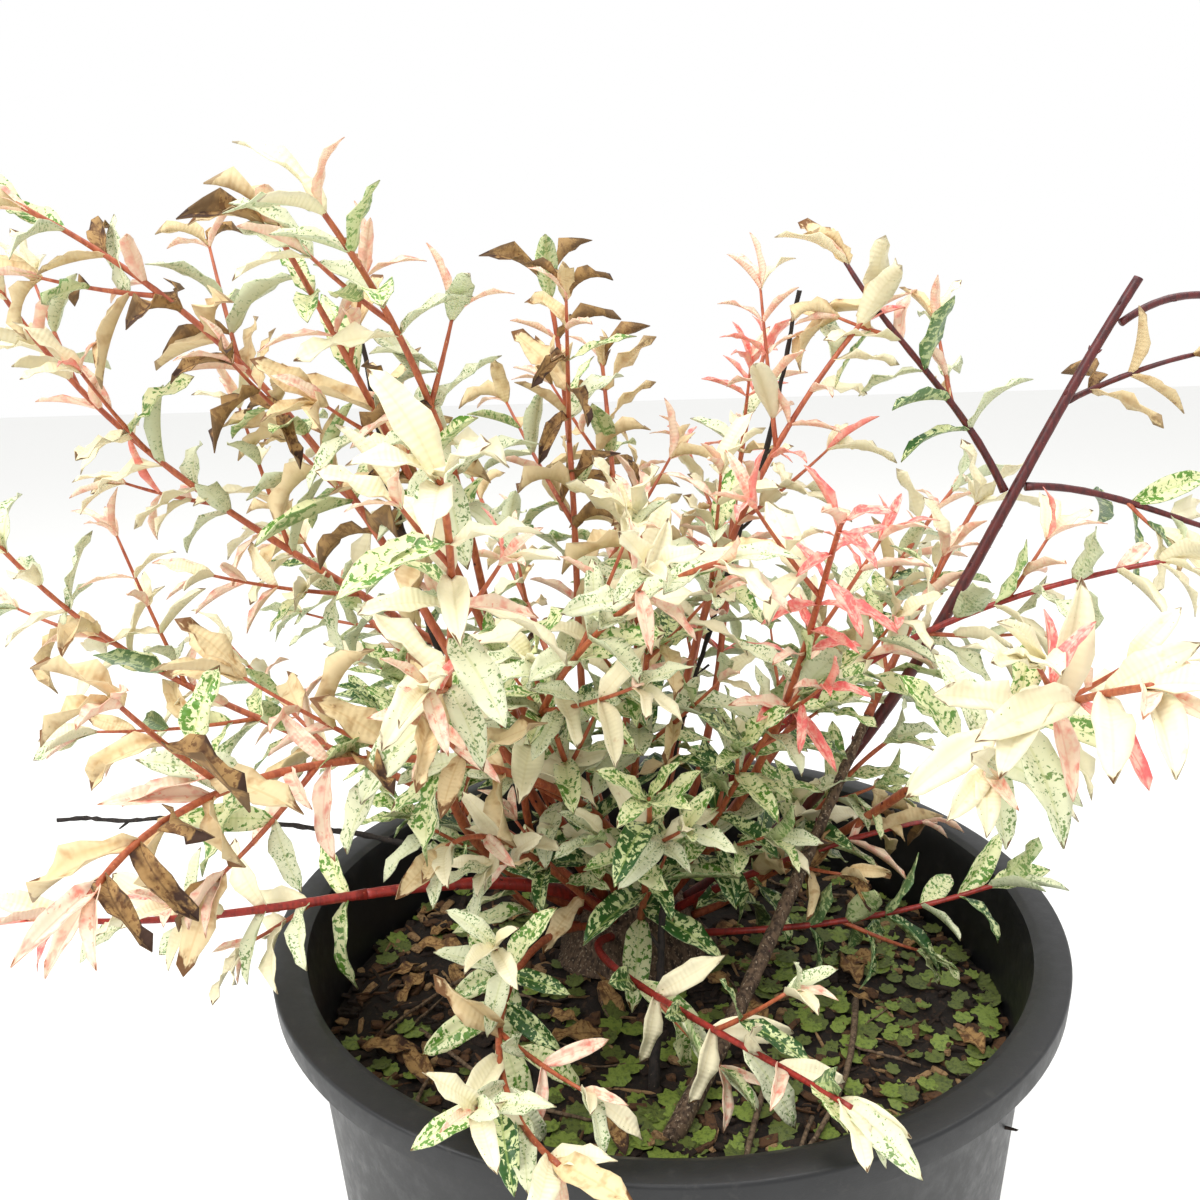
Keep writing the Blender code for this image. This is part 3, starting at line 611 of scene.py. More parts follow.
@dataclass(frozen=True)
class LeafFinish:
    """Willow leaf: a thin matt blade with a waxy gleam, flecked where it lacks green.

    The pattern lies on a sheet of small leaf faces, four by two of upper sides and as many of
    under sides. A fleck's size is in millimetres on a leaf of the mean size.
    """

    name: str
    body: str
    fleck: str
    flecks: float
    fleck_size: float = 1.6
    rib: str = "C9CF95"
    rib_show: float = 0.55
    scorch: str = "6B4A24"
    scorched: float = 0.10
    stain: str = "8A9450"
    stains: float = 0.0
    under: str = "A9B58E"
    roughness: float = 0.48
    width_mm: float = 11.0
    length_mm: float = 36.0

    def material(self) -> bpy.types.Material:
        """Return the leaf's material, drawn on the leaf's own map."""
        material, tree, shader = new_material("Willow leaf, " + self.name, self.body,
                                              self.roughness)
        sheet = add(tree, "ShaderNodeUVMap", uv_map=BAKE_MAP)
        axes = add(tree, "ShaderNodeSeparateXYZ", {0: sheet.outputs[0]})
        column = add(tree, "ShaderNodeMath", {0: axes.outputs[0], 1: float(SHEET_CELLS)},
                     operation="MULTIPLY")
        within = add(tree, "ShaderNodeMath", {0: column.outputs[0]}, operation="FRACT")
        middle = add(tree, "ShaderNodeMath", {0: within.outputs[0], 1: 0.5},
                     operation="SUBTRACT")
        half = add(tree, "ShaderNodeMath", {0: middle.outputs[0]}, operation="ABSOLUTE")
        row = add(tree, "ShaderNodeMath", {0: axes.outputs[1], 1: float(SHEET_CELLS)},
                  operation="MULTIPLY")
        length = add(tree, "ShaderNodeMath", {0: row.outputs[0]}, operation="FRACT")
        below = add(tree, "ShaderNodeMath", {0: axes.outputs[1], 1: 0.5},
                    operation="GREATER_THAN")
        scale = (SHEET_CELLS * self.width_mm, SHEET_CELLS * self.length_mm, 1.0)
        real = add(tree, "ShaderNodeMapping", {0: sheet.outputs[0], "Scale": scale})
        specks = add(tree, "ShaderNodeTexNoise", {
            "Vector": real.outputs[0], "Scale": 1.0 / self.fleck_size, "Detail": 3.0,
            "Roughness": 0.62, "Distortion": 0.4})
        clouds = add(tree, "ShaderNodeTexNoise", {
            "Vector": real.outputs[0], "Scale": 0.09, "Detail": 2.0})
        mixed = add(tree, "ShaderNodeMath", {0: clouds.outputs[0], 1: 0.55,
                                             2: specks.outputs[0]}, operation="MULTIPLY_ADD")
        level = 1.02 - self.flecks * 0.5
        flecked = add(tree, "ShaderNodeMapRange", {
            "Value": mixed.outputs[0], "From Min": level - 0.02, "From Max": level + 0.02})
        spread = add(tree, "ShaderNodeTexNoise", {
            "Vector": real.outputs[0], "Scale": 0.16, "Detail": 3.0})
        stain_level = 0.86 - self.stains * 0.5
        stained = add(tree, "ShaderNodeMapRange", {
            "Value": spread.outputs[0], "From Min": stain_level - 0.10,
            "From Max": stain_level + 0.10})
        rib = add(tree, "ShaderNodeMapRange", {
            "Value": half.outputs[0], "From Min": 0.02, "From Max": 0.05,
            "To Min": self.rib_show, "To Max": 0.0})
        toward = add(tree, "ShaderNodeMath", {0: length.outputs[0], 1: 5.0}, operation="POWER")
        margin = add(tree, "ShaderNodeMath", {0: half.outputs[0], 1: 4.0}, operation="POWER")
        margin = add(tree, "ShaderNodeMath", {0: margin.outputs[0], 1: 5.0,
                                              2: toward.outputs[0]},
                     operation="MULTIPLY_ADD")
        ragged = add(tree, "ShaderNodeMath", {0: spread.outputs[0], 1: 1.5,
                                              2: margin.outputs[0]},
                     operation="MULTIPLY_ADD")
        burn_level = 1.72 - self.scorched
        burnt = add(tree, "ShaderNodeMapRange", {
            "Value": ragged.outputs[0], "From Min": burn_level - 0.05,
            "From Max": burn_level + 0.07})
        paler = add(tree, "ShaderNodeMath", {0: below.outputs[0], 1: 0.45},
                    operation="MULTIPLY")
        colour = linear(self.body)
        for share, over in ((flecked, self.fleck), (stained, self.stain), (rib, self.rib),
                            (burnt, self.scorch), (paler, self.under)):
            colour = add(tree, "ShaderNodeMix", {
                0: share.outputs[0], 6: colour, 7: linear(over)}, data_type="RGBA").outputs[2]
        tree.links.new(colour, shader.inputs["Base Color"])
        veins = add(tree, "ShaderNodeTexWave", {
            "Vector": real.outputs[0], "Scale": 0.16, "Distortion": 2.0, "Detail": 1.0},
            bands_direction="Y")
        bump = add(tree, "ShaderNodeBump", {
            "Strength": 0.25, "Distance": 0.0003, "Height": veins.outputs[1]})
        tree.links.new(bump.outputs[0], shader.inputs["Normal"])
        return material


LEAF_FINISHES = {
    # Old shaded leaf: full green with a few cream flecks and a waxy gleam
    Leaf.DEEP: LeafFinish("deep green", "2C5A1E", "D9E2A6", 0.42, 2.4, roughness=0.38,
                          rib="A9BF6A", under="7F9C6B", scorched=0.04),
    # Leaf in half shade: mid green, flecked along its margin
    Leaf.FRESH: LeafFinish("fresh green", "5B8A2B", "E6E8B4", 0.56, 2.0, roughness=0.42,
                           rib="C6D388", under="93AB74", scorched=0.16),
    # Grey-green leaf with a fine cream speckle all over
    Leaf.SAGE: LeafFinish("sage speckled", "6F8C4E", "DFE2BE", 0.68, 1.3, under="AEBB97",
                          scorched=0.12, roughness=0.5),
    # Cream leaf with green islands
    Leaf.CREAM: LeafFinish("cream dappled", "8C9A4C", "F1E8C4", 0.98, 1.7, rib="E8DDB0",
                           under="D9D2B0", scorched=0.22, stain="C9A77C", stains=0.25),
    # Cream leaf gone tan, spotted and burnt along its edges
    Leaf.TAN: LeafFinish("tan scorched", "8B8646", "E6CFA0", 1.02, 1.9, rib="D7B783",
                         under="CDB98F", scorched=0.50, scorch="7A5128", stain="B98F5A",
                         stains=0.5, roughness=0.56),
    # Young tip leaf: peach over cream
    Leaf.BLUSH: LeafFinish("peach blush", "EBA88E", "F4DCC2", 0.80, 2.6, rib="F0B79C",
                           under="F0C7AE", scorched=0.22, scorch="A5683F", stain="E68A78",
                           stains=0.55, roughness=0.5),
    # Newest leaf: clear coral pink
    Leaf.CORAL: LeafFinish("coral pink", "EE7A70", "F8C3AE", 0.62, 3.2, rib="E4655E",
                           under="F3A391", scorched=0.08, scorch="B0694A", stain="F26F6C",
                           stains=0.7, roughness=0.46),
    # Dead leaf still held: dull brown
    Leaf.DRY: LeafFinish("dry brown", "7A5630", "A98552", 0.60, 2.2, rib="5B3C20",
                         under="8E7046", scorched=0.70, scorch="40281A", stain="5A3B20",
                         stains=0.6, roughness=0.8),
}


@dataclass(frozen=True)
class BarkFinish:
    """Willow bark, smooth on young shoots and streaked lengthwise where it is old."""

    name: str
    body: str
    streak: str
    speck: str
    roughness: float
    streak_mm: float = 1.4
    speck_mm: float = 0.9
    specks: float = 0.3
    relief_mm: float = 0.1

    def material(self) -> bpy.types.Material:
        """Return the bark's material on Object coordinates."""
        material, tree, shader = new_material("Willow bark, " + self.name, self.body,
                                              self.roughness)
        place = add(tree, "ShaderNodeTexCoord")
        stretch = add(tree, "ShaderNodeMapping", {0: place.outputs["Object"],
                                                  "Scale": (1.0, 1.0, 0.25)})
        streaks = add(tree, "ShaderNodeTexNoise", {
            "Vector": stretch.outputs[0], "Scale": 1 / (self.streak_mm * MM), "Detail": 4.0})
        specks = add(tree, "ShaderNodeTexNoise", {
            "Vector": place.outputs["Object"], "Scale": 1 / (self.speck_mm * MM),
            "Detail": 2.0})
        streaked = add(tree, "ShaderNodeMapRange", {
            "Value": streaks.outputs[0], "From Min": 0.42, "From Max": 0.62})
        speck_level = 0.8 - 0.4 * self.specks
        specked = add(tree, "ShaderNodeMapRange", {
            "Value": specks.outputs[0], "From Min": speck_level, "From Max": speck_level + 0.08})
        colour = linear(self.body)
        for share, over in ((streaked, self.streak), (specked, self.speck)):
            colour = add(tree, "ShaderNodeMix", {
                0: share.outputs[0], 6: colour, 7: linear(over)}, data_type="RGBA").outputs[2]
        bump = add(tree, "ShaderNodeBump", {
            "Strength": 0.6, "Distance": self.relief_mm * MM, "Height": streaks.outputs[0]})
        tree.links.new(colour, shader.inputs["Base Color"])
        tree.links.new(bump.outputs[0], shader.inputs["Normal"])
        return material


BARK_FINISHES = {
    # This year's shoot: smooth orange-pink skin
    Bark.CORAL: BarkFinish("coral shoot", "B5623F", "9C4A30", "D49A74", 0.45),
    # Sunny side of last year's wood: clear red
    Bark.RED: BarkFinish("red shoot", "A03028", "7E2420", "C7745A", 0.42),
    # Older cane: dark wine red
    Bark.MAROON: BarkFinish("maroon cane", "5E1F1E", "43181A", "8C4A3C", 0.45),
    # Oldest wood: grey-brown, furrowed
    Bark.OLD: BarkFinish("old stem", "6B5643", "3A2C22", "A39079", 0.85, relief_mm=0.5,
                         specks=0.5),
    # Dead twig: weathered almost black
    Bark.DEAD: BarkFinish("dead twig", "2E2622", "1C1715", "6A5A4C", 0.85, relief_mm=0.2),
}


@dataclass(frozen=True)
class PotFinish:
    """Black polypropylene, injection moulded: a dull satin skin with dust and handling marks."""

    body: str = "131416"
    dust: str = "55534F"
    grain_mm: float = 0.5
    scuff_mm: float = 6.0

    def material(self) -> bpy.types.Material:
        """Return the pot's material on Object coordinates."""
        material, tree, shader = new_material("Black polypropylene", self.body, 0.42)
        place = add(tree, "ShaderNodeTexCoord")
        dust = add(tree, "ShaderNodeTexNoise", {
            "Vector": place.outputs["Object"], "Scale": 1 / (self.scuff_mm * MM),
            "Detail": 8.0, "Roughness": 0.7})
        dusty = add(tree, "ShaderNodeMapRange", {
            "Value": dust.outputs[0], "From Min": 0.55, "From Max": 0.85, "To Max": 0.45})
        grain = add(tree, "ShaderNodeTexNoise", {
            "Vector": place.outputs["Object"], "Scale": 1 / (self.grain_mm * MM),
            "Detail": 2.0})
        colour = add(tree, "ShaderNodeMix", {
            0: dusty.outputs[0], 6: linear(self.body), 7: linear(self.dust)},
            data_type="RGBA")
        rough = add(tree, "ShaderNodeMapRange", {
            "Value": dust.outputs[0], "From Min": 0.3, "From Max": 0.7, "To Min": 0.34,
            "To Max": 0.56})
        bump = add(tree, "ShaderNodeBump", {
            "Strength": 0.15, "Distance": 0.0002, "Height": grain.outputs[0]})
        tree.links.new(colour.outputs[2], shader.inputs["Base Color"])
        tree.links.new(rough.outputs[0], shader.inputs["Roughness"])
        tree.links.new(bump.outputs[0], shader.inputs["Normal"])
        return material


@dataclass(frozen=True)
class GroundFinish:
    """Anything on the pot's filling: two tones broken up by a grain of a real size."""

    name: str
    body: str
    second: str
    grain_mm: float
    roughness: float = 0.9
    share: float = 0.5
    relief_mm: float = 0.6

    def material(self) -> bpy.types.Material:
        """Return the material on Object coordinates."""
        material, tree, shader = new_material(self.name, self.body, self.roughness)
        place = add(tree, "ShaderNodeTexCoord")
        grain = add(tree, "ShaderNodeTexNoise", {
            "Vector": place.outputs["Object"], "Scale": 1 / (self.grain_mm * MM),
            "Detail": 6.0, "Roughness": 0.65})
        level = 0.7 - 0.4 * self.share
        broken = add(tree, "ShaderNodeMapRange", {
            "Value": grain.outputs[0], "From Min": level, "From Max": level + 0.12})
        colour = add(tree, "ShaderNodeMix", {
            0: broken.outputs[0], 6: linear(self.body), 7: linear(self.second)},
            data_type="RGBA")
        bump = add(tree, "ShaderNodeBump", {
            "Strength": 0.8, "Distance": self.relief_mm * MM, "Height": grain.outputs[0]})
        tree.links.new(colour.outputs[2], shader.inputs["Base Color"])
        tree.links.new(bump.outputs[0], shader.inputs["Normal"])
        return material


def show(name: str, bm: bmesh.types.BMesh, material: bpy.types.Material,
         smooth: bool = True) -> bpy.types.Object:
    """Make an object of a bmesh, which is freed.

    Args:
        name: the object's name.
        bm: its shape, in place.
        material: its material.
        smooth: whether its faces are shaded smooth.

    Returns:
        The object, linked to the scene.
    """
    mesh = bpy.data.meshes.new(name)
    bm.to_mesh(mesh)
    bm.free()
    return show_mesh(name, mesh, material, smooth)


def show_mesh(name: str, mesh: bpy.types.Mesh, material: bpy.types.Material,
              smooth: bool = True) -> bpy.types.Object:
    """Make an object of a mesh.

    Args:
        name: the object's name.
        mesh: its mesh, in place.
        material: its material.
        smooth: whether its faces are shaded smooth.

    Returns:
        The object, linked to the scene.
    """
    mesh.materials.clear()
    mesh.materials.append(material)
    if smooth:
        mesh.shade_smooth()
    else:
        mesh.shade_flat()
    obj = bpy.data.objects.new(name, mesh)
    bpy.context.scene.collection.objects.link(obj)
    return obj


def settle(piece: bpy.types.Object, slot: str, *nodes: str) -> None:
    """Give a piece its body, hide the solids that it stands for, and report it.

    Args:
        piece: the finished piece.
        slot: the record's material slot; not used.
        nodes: the solids that it replaces.
    """
    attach(piece, BODY)
    if nodes:
        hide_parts(*nodes)
    LOG.info("%s: %d faces", piece.name, len(piece.data.polygons))


def corners(faces: list) -> np.ndarray:
    """Return the numbers of each face's corners."""
    return np.array([[vert.index for vert in face.verts] for face in faces])


class Batch:
    """Copies of small template meshes, joined into one mesh."""

    def __init__(self) -> None:
        """Start empty."""
        self.verts = []
        self.faces = []
        self.maps = []
        self.count = 0

    def add(self, verts: np.ndarray, faces: np.ndarray, sheet: np.ndarray = None) -> None:
        """Take in a placed copy.

        Args:
            verts: its points.
            faces: its faces, all with the same number of corners.
            sheet: map coordinates of each face corner.
        """
        self.verts.append(verts)
        self.faces.append(faces + self.count)
        self.count += len(verts)
        if sheet is not None:
            self.maps.append(sheet)

    def show(self, name: str, material: bpy.types.Material, smooth: bool = True) -> object:
        """Make one object of all copies.

        Args:
            name: the object's name.
            material: its material.
            smooth: whether its faces are shaded smooth.

        Returns:
            The object.
        """
        mesh = bpy.data.meshes.new(name)
        faces = [tuple(face) for block in self.faces for face in block.tolist()]
        mesh.from_pydata(np.concatenate(self.verts).tolist(), [], faces)
        if self.maps:
            layer = mesh.uv_layers.new(name=BAKE_MAP)
            layer.data.foreach_set("uv", np.concatenate(self.maps).reshape(-1).astype("f"))
        return show_mesh(name, mesh, material, smooth)


class Curl(Enum):
    """How a leaf's blade is bent: fold, arch, twist and wave."""

    FLAT = (0.30, -0.35, 0.10, 0.05)
    ARCHED = (0.45, -1.00, 0.25, 0.06)
    FOLDED = (0.85, -0.45, 0.20, 0.04)
    WAVY = (0.35, -0.55, 0.50, 0.13)
    ROLLED = (1.15, -1.30, 1.30, 0.12)


@dataclass
class LeafShape:
    """A lance-shaped blade of length one along +X, with its upper side towards +Z."""

    curl: Curl
    width: float
    seed: int
    long_parts: int = 8
    wide_parts: int = 4
    thickness: float = 0.009
    widest: float = 0.42
    stalk: float = 0.05
    verts: np.ndarray = field(default=None, repr=False)
    faces: np.ndarray = field(default=None, repr=False)
    sheet: np.ndarray = field(default=None, repr=False)

    def __post_init__(self) -> None:
        """Shape the blade and give it its thickness."""
        rng = random.Random(SEED * 31 + self.seed)
        bm = bmesh.new()
        bmesh.ops.create_grid(bm, x_segments=self.long_parts, y_segments=self.wide_parts,
                              size=0.5)
        flat = {}
        moods = [rng.uniform(0.75, 1.25) * value for value in self.curl.value]
        moods[2] *= rng.choice((-1, 1))
        phase = rng.uniform(0, 1)
        for vert in bm.verts:
            share = vert.co.x + 0.5
            across = vert.co.y * 2
            vert.co = self.bent(share, across, moods, phase, rng)
            flat[vert.index] = (share, across)
        before = [(vert.co.copy(), flat[vert.index]) for vert in bm.verts]
        bmesh.ops.recalc_face_normals(bm, faces=bm.faces)
        if sum(face.normal.z for face in bm.faces) < 0:
            bmesh.ops.reverse_faces(bm, faces=bm.faces)
        top = set(bm.faces)
        bmesh.ops.solidify(bm, geom=bm.faces[:], thickness=self.thickness)
        bm.faces.ensure_lookup_table()
        bm.verts.ensure_lookup_table()
        places = np.array([tuple(co) for co, _ in before])
        params = np.array([share for _, share in before])
        self.verts = np.array([tuple(vert.co) for vert in bm.verts])
        self.faces = corners(bm.faces)
        near = np.linalg.norm(self.verts[:, None] - places[None], axis=2).argmin(axis=1)
        shares = params[near][self.faces]
        upper = np.array([face.normal.z > 0 and face in top for face in bm.faces])
        u = shares[..., 1] * 0.46 + 0.5
        v = shares[..., 0] * 0.94 + 0.03
        v = v + UPPER_ROWS * ~upper[:, None]
        self.sheet = np.stack((u, v), axis=2) / SHEET_CELLS
        bm.free()

    def bent(self, share: float, across: float, moods: list, phase: float,
             rng: random.Random) -> Vector:
        """Place one point of the blade.

        Args:
            share: how far along the blade it lies.
            across: from -1 at one margin to 1 at the other.
            moods: fold, arch, twist and wave.
            phase: where the waves start.
            rng: seeded random numbers for the ragged margin.

        Returns:
            The point.
        """
        fold, arch, twist, wave = moods
        inner = max(0.0, (share - self.stalk) / (1 - self.stalk))
        power = self.widest / (1 - self.widest)
        peak = self.widest ** power * (1 - self.widest)
        half = 0.5 * self.width * max(0.0, inner ** power * (1 - inner) / peak) ** 0.75
        half = max(half, 0.5 * self.width * 0.07 * (1.2 - share))
        if abs(across) > 0.9:
            half *= 1 + rng.uniform(-0.05, 0.05)
        side = across * half * math.cos(fold * 0.6)
        lift = abs(across) * half * math.sin(fold)
        turn = (share * 2.3 + phase + (0.37 if across > 0 else 0.0)) * 2 * math.pi
        lift += wave * 0.5 * abs(across) ** 1.5 * math.sin(turn) * min(1.0, half * 12)
        angle = twist * share ** 1.3
        side, lift = (side * math.cos(angle) - lift * math.sin(angle),
                      side * math.sin(angle) + lift * math.cos(angle))
        bend = arch * share
        if abs(arch) > 0.02:
            ahead = math.sin(bend) / arch
            drop = (1 - math.cos(bend)) / arch
        else:
            ahead, drop = share, 0.0
        return Vector((ahead - lift * math.sin(bend), side, drop + lift * math.cos(bend)))

    def placed(self, root: np.ndarray, way: np.ndarray, length: float,
               up: np.ndarray = None) -> np.ndarray:
        """Turn and size the blade to where it grows.

        Args:
            root: where it leaves its stem.
            way: the direction it grows in.
            length: its length.
            up: what its upper side faces, or none for the sky.

        Returns:
            Its points.
        """
        above = side_frame(way, up)[0]
        turn = np.stack((way, np.cross(above, way), above), axis=1)
        return self.verts @ turn.T * length + root


def random_cell(rng: random.Random) -> np.ndarray:
    """Draw a cell of the leaf sheet's upper sides, as a shift of the map."""
    return np.array((rng.randrange(SHEET_CELLS), rng.randrange(UPPER_ROWS))) / SHEET_CELLS


class Foliage:
    """All twigs and leaves, grown on the skeleton and joined by kind."""

    leaf_length = 0.037
    pair_spacing = LEAF_NODE_SPACING
    twig_spacing = 0.030
    twig_leaf_spacing = 0.0115
    shapes_a_kind = 5
    twig_radii = (0.0009, 0.0005)
    stem_step = 0.004

    def __init__(self, skeleton: Skeleton) -> None:
        """Make the leaf templates and the empty batches.

        Args:
            skeleton: the laid paths.
        """
        self.skeleton = skeleton
        self.leaves = {kind: Batch() for kind in Leaf}
        self.stems = {bark: [] for bark in (Bark.CORAL, Bark.RED, Bark.MAROON)}
        self.shapes = {}
        self.count = 0
        curls = {
            Leaf.DEEP: (Curl.FLAT, Curl.ARCHED, Curl.FOLDED), Leaf.FRESH: tuple(Curl)[:4],
            Leaf.SAGE: (Curl.ARCHED, Curl.WAVY, Curl.FOLDED),
            Leaf.CREAM: (Curl.ARCHED, Curl.WAVY, Curl.FOLDED),
            Leaf.TAN: (Curl.WAVY, Curl.ROLLED, Curl.FOLDED),
            Leaf.BLUSH: (Curl.FOLDED, Curl.ARCHED), Leaf.CORAL: (Curl.FOLDED, Curl.ARCHED),
            Leaf.DRY: (Curl.ROLLED,),
        }
        widths = {Leaf.BLUSH: 0.22, Leaf.CORAL: 0.19, Leaf.DRY: 0.26}
        for order, kind in enumerate(Leaf):
            self.shapes[kind] = [
                LeafShape(curls[kind][i % len(curls[kind])], widths.get(kind, 0.30),
                          order * 10 + i)
                for i in range(self.shapes_a_kind)
            ]
        limb_points = []
        for shoot in SHOOTS:
            if shoot.bough:
                points, radii = skeleton.section(shoot, 0.0, shoot.bare, self.stem_step)
                limb_points.append(np.column_stack((points, radii)))
        self.limb_points = np.concatenate(limb_points)

    def blocked(self, root: np.ndarray, way: np.ndarray, length: float) -> bool:
        """Tell whether a leaf would meet a limb, the pot's wall or the filling.

        Args:
            root: its root.
            way: the direction it grows in.
            length: its length.

        Returns:
            True where it has no room.
        """
        for share in (0.35, 0.65, 0.95):
            point = root + way * length * share
            reach = math.hypot(point[0], point[1])
            if point[2] < SOIL_LEVEL + 0.003 and reach < RIM_RADIUS + 0.004:
                return True
            if point[2] < POT_HEIGHT + 0.003 and abs(reach - RIM_MIDDLE_RADIUS) < RIM_HALF_WIDTH:
                return True
            apart = np.linalg.norm(self.limb_points[:, :3] - point, axis=1)
            if share > 0.5 and (apart < self.limb_points[:, 3] + 0.001).any():
                return True
        return False

    def place_leaf(self, kind: Leaf, root: np.ndarray, way: np.ndarray, up: np.ndarray,
                   length: float, rng: random.Random) -> None:
        """Add one leaf.

        Args:
            kind: its kind.
            root: where it leaves its stem.
            way: the direction it grows in.
            up: what its upper side faces.
            length: its length.
            rng: seeded random numbers.
        """
        shape = rng.choice(self.shapes[kind])
        verts = shape.placed(root, way, length, up)
        self.leaves[kind].add(verts, shape.faces, shape.sheet + random_cell(rng))
        self.count += 1

    def dress_stem(self, shoot: Shoot, points: np.ndarray, first: float, spacing: float,
                   size: float, base_share: float, rng: random.Random) -> None:
        """Set pairs of leaves along a stem and a tuft at its end.

        Args:
            shoot: the shoot whose colours the leaves take.
            points: the stem's points.
            first: metres to the first pair.
            spacing: metres between pairs.
            size: size of the leaves.
            base_share: how far towards tip colours the stem's foot is.
            rng: seeded random numbers.
        """
        length = path_length(points)
        count = max(1, int((length - first) / spacing))
        turn = rng.uniform(0, 360)
        near_foot, near_tip = shoot.dress.value
        for node in range(count + 2):
            tuft = node >= count
            share = (0.97 + 0.012 * (node - count)) if tuft else (first + node * spacing) / length
            centre, tangent = station(points, share, 0.015)
            turn += 90 + rng.uniform(-25, 25)
            opening = (24 - 8 * (node - count)) if tuft else 60 - 22 * share
            opening = math.radians(opening + rng.uniform(-9, 9))
            grown = base_share + (1 - base_share) * share
            weights = near_tip if rng.random() < grown ** 1.6 else near_foot
            for pair in range(2):
                if not tuft and rng.random() < 0.06:
                    continue
                out = side_way(tangent, turn + 180 * pair + rng.uniform(-20, 20))
                way = tangent * math.cos(opening) + out * math.sin(opening)
                way = normalised(way + np.array((0, 0, rng.uniform(-0.30, 0.10))))
                up = tangent * 0.7 - out * 0.3 + np.array((0, 0, 0.8))
                kind = pick(weights, rng)
                leaf = self.leaf_length * size * rng.uniform(0.75, 1.12)
                leaf *= 1 - 0.25 * share
                if kind in (Leaf.CORAL, Leaf.BLUSH):
                    leaf *= 0.85
                if self.blocked(centre, way, leaf):
                    way = normalised(way + np.array((0, 0, 0.6)))
                    if self.blocked(centre, way, leaf):
                        continue
                self.place_leaf(kind, centre - way * 0.0004, way, up, leaf, rng)

    def grow(self, shoot: Shoot, order: int) -> None:
        """Grow one mass: its stem, its twigs and their leaves.

        Args:
            shoot: the shoot.
            order: its place among the masses, which seeds its random numbers.
        """
        rng = random.Random(SEED + order)
        path = self.skeleton.paths[shoot.name]
        begin = shoot.bare if shoot.bough else 0.0
        points, radii = self.skeleton.section(shoot, begin, 1.0, self.stem_step)
        self.stems[shoot.bark if shoot.bark in self.stems else Bark.CORAL].append(
            (points, radii))
        length = path_length(points)
        first = length * 0.06 if shoot.bough else path_length(path) * shoot.bare
        size = 0.88 if shoot.tip[2] < 0.09 else 1.0
        self.dress_stem(shoot, points, first, self.pair_spacing / shoot.dense ** 0.5, size,
                        0.0, rng)
        turn = rng.uniform(0, 360)
        runs = np.arange(first + 0.012, length - 0.030, self.twig_spacing / shoot.dense)
        for run in runs:
            share = run / length
            centre, tangent = station(points, share)
            reach = min(SPACE_RADIUS, TWIG_SHARE * length) * rng.uniform(0.75, 1.10)
            reach *= 1 - 0.4 * share
            for _ in range(5):
                turn += GOLDEN_TURN
                way = normalised(tangent + side_way(tangent, turn) * TWIG_SPREAD)
                if not self.blocked(centre, way, reach):
                    break
            else:
                continue
            t = np.linspace(0, 1, 9)[:, None]
            end = centre + way * reach + np.array((0, 0, TWIG_CURL * reach))
            bow = centre + way * reach * 0.5
            twig = (1 - t) ** 2 * centre + 2 * t * (1 - t) * bow + t * t * end
            self.stems[Bark.CORAL].append((twig, np.linspace(*self.twig_radii, 9)))
            self.dress_stem(shoot, twig, 0.010, self.twig_leaf_spacing, size * 0.86,
                            share * 0.6, rng)

    def build(self) -> None:
        """Grow all masses and show them as joined pieces."""
        leafy = [shoot for shoot in SHOOTS if shoot.bare < 1.0]
        for order, shoot in enumerate(leafy):
            self.grow(shoot, order)
        nodes = ["foliage_" + shoot.name for shoot in leafy]
        for bark, lines in self.stems.items():
            piece = tubes(f"stems_{bark.value}", lines, BARKS[bark], 2, 0.12)
            settle(piece, "young_bark", *nodes)
        for kind, batch in self.leaves.items():
            piece = batch.show(f"leaves_{kind.value}", LEAVES[kind])
            settle(piece, "foliage", *nodes)
        LOG.info("%d leaves", self.count)


def tubes(name: str, lines: list, material: bpy.types.Material, resolution: int,
          swelling: float = 0.0) -> bpy.types.Object:
    """Make round tapering tubes of lines, as curves with a bevel turned to one mesh.

    Args:
        name: the piece's name.
        lines: points and radii of each tube.
        material: their material.
        resolution: the bevel's resolution.
        swelling: how much a tube swells at its leaf nodes.

    Returns:
        The piece.
    """
    curve = bpy.data.curves.new(name, "CURVE")
    curve.dimensions = "3D"
    curve.bevel_depth = MM
    curve.bevel_resolution = resolution
    curve.use_fill_caps = True
    for points, radii in lines:
        spline = curve.splines.new("POLY")
        spline.points.add(len(points) - 1)
        steps = np.concatenate(([0.0], np.cumsum(np.linalg.norm(np.diff(points, axis=0),
                                                                axis=1))))
        swollen = radii * (1 + swelling * np.cos(steps / LEAF_NODE_SPACING * 2 * math.pi) ** 8)
        flat = np.column_stack((points, np.ones(len(points)))).reshape(-1)
        spline.points.foreach_set("co", flat.astype("f"))
        spline.points.foreach_set("radius", (swollen / MM).astype("f"))
    drawn = bpy.data.objects.new(name + "_curve", curve)
    bpy.context.scene.collection.objects.link(drawn)
    bpy.context.view_layer.update()
    shaped = drawn.evaluated_get(bpy.context.evaluated_depsgraph_get())
    mesh = bpy.data.meshes.new_from_object(shaped)
    bpy.data.objects.remove(drawn)
    mesh.name = name
    while mesh.uv_layers:
        mesh.uv_layers.remove(mesh.uv_layers[0])
    bm = bmesh.new()
    bm.from_mesh(mesh)
    bmesh.ops.remove_doubles(bm, verts=bm.verts, dist=1e-6)
    bmesh.ops.recalc_face_normals(bm, faces=bm.faces)
    bpy.data.meshes.remove(mesh)
    return show(name, bm, material)


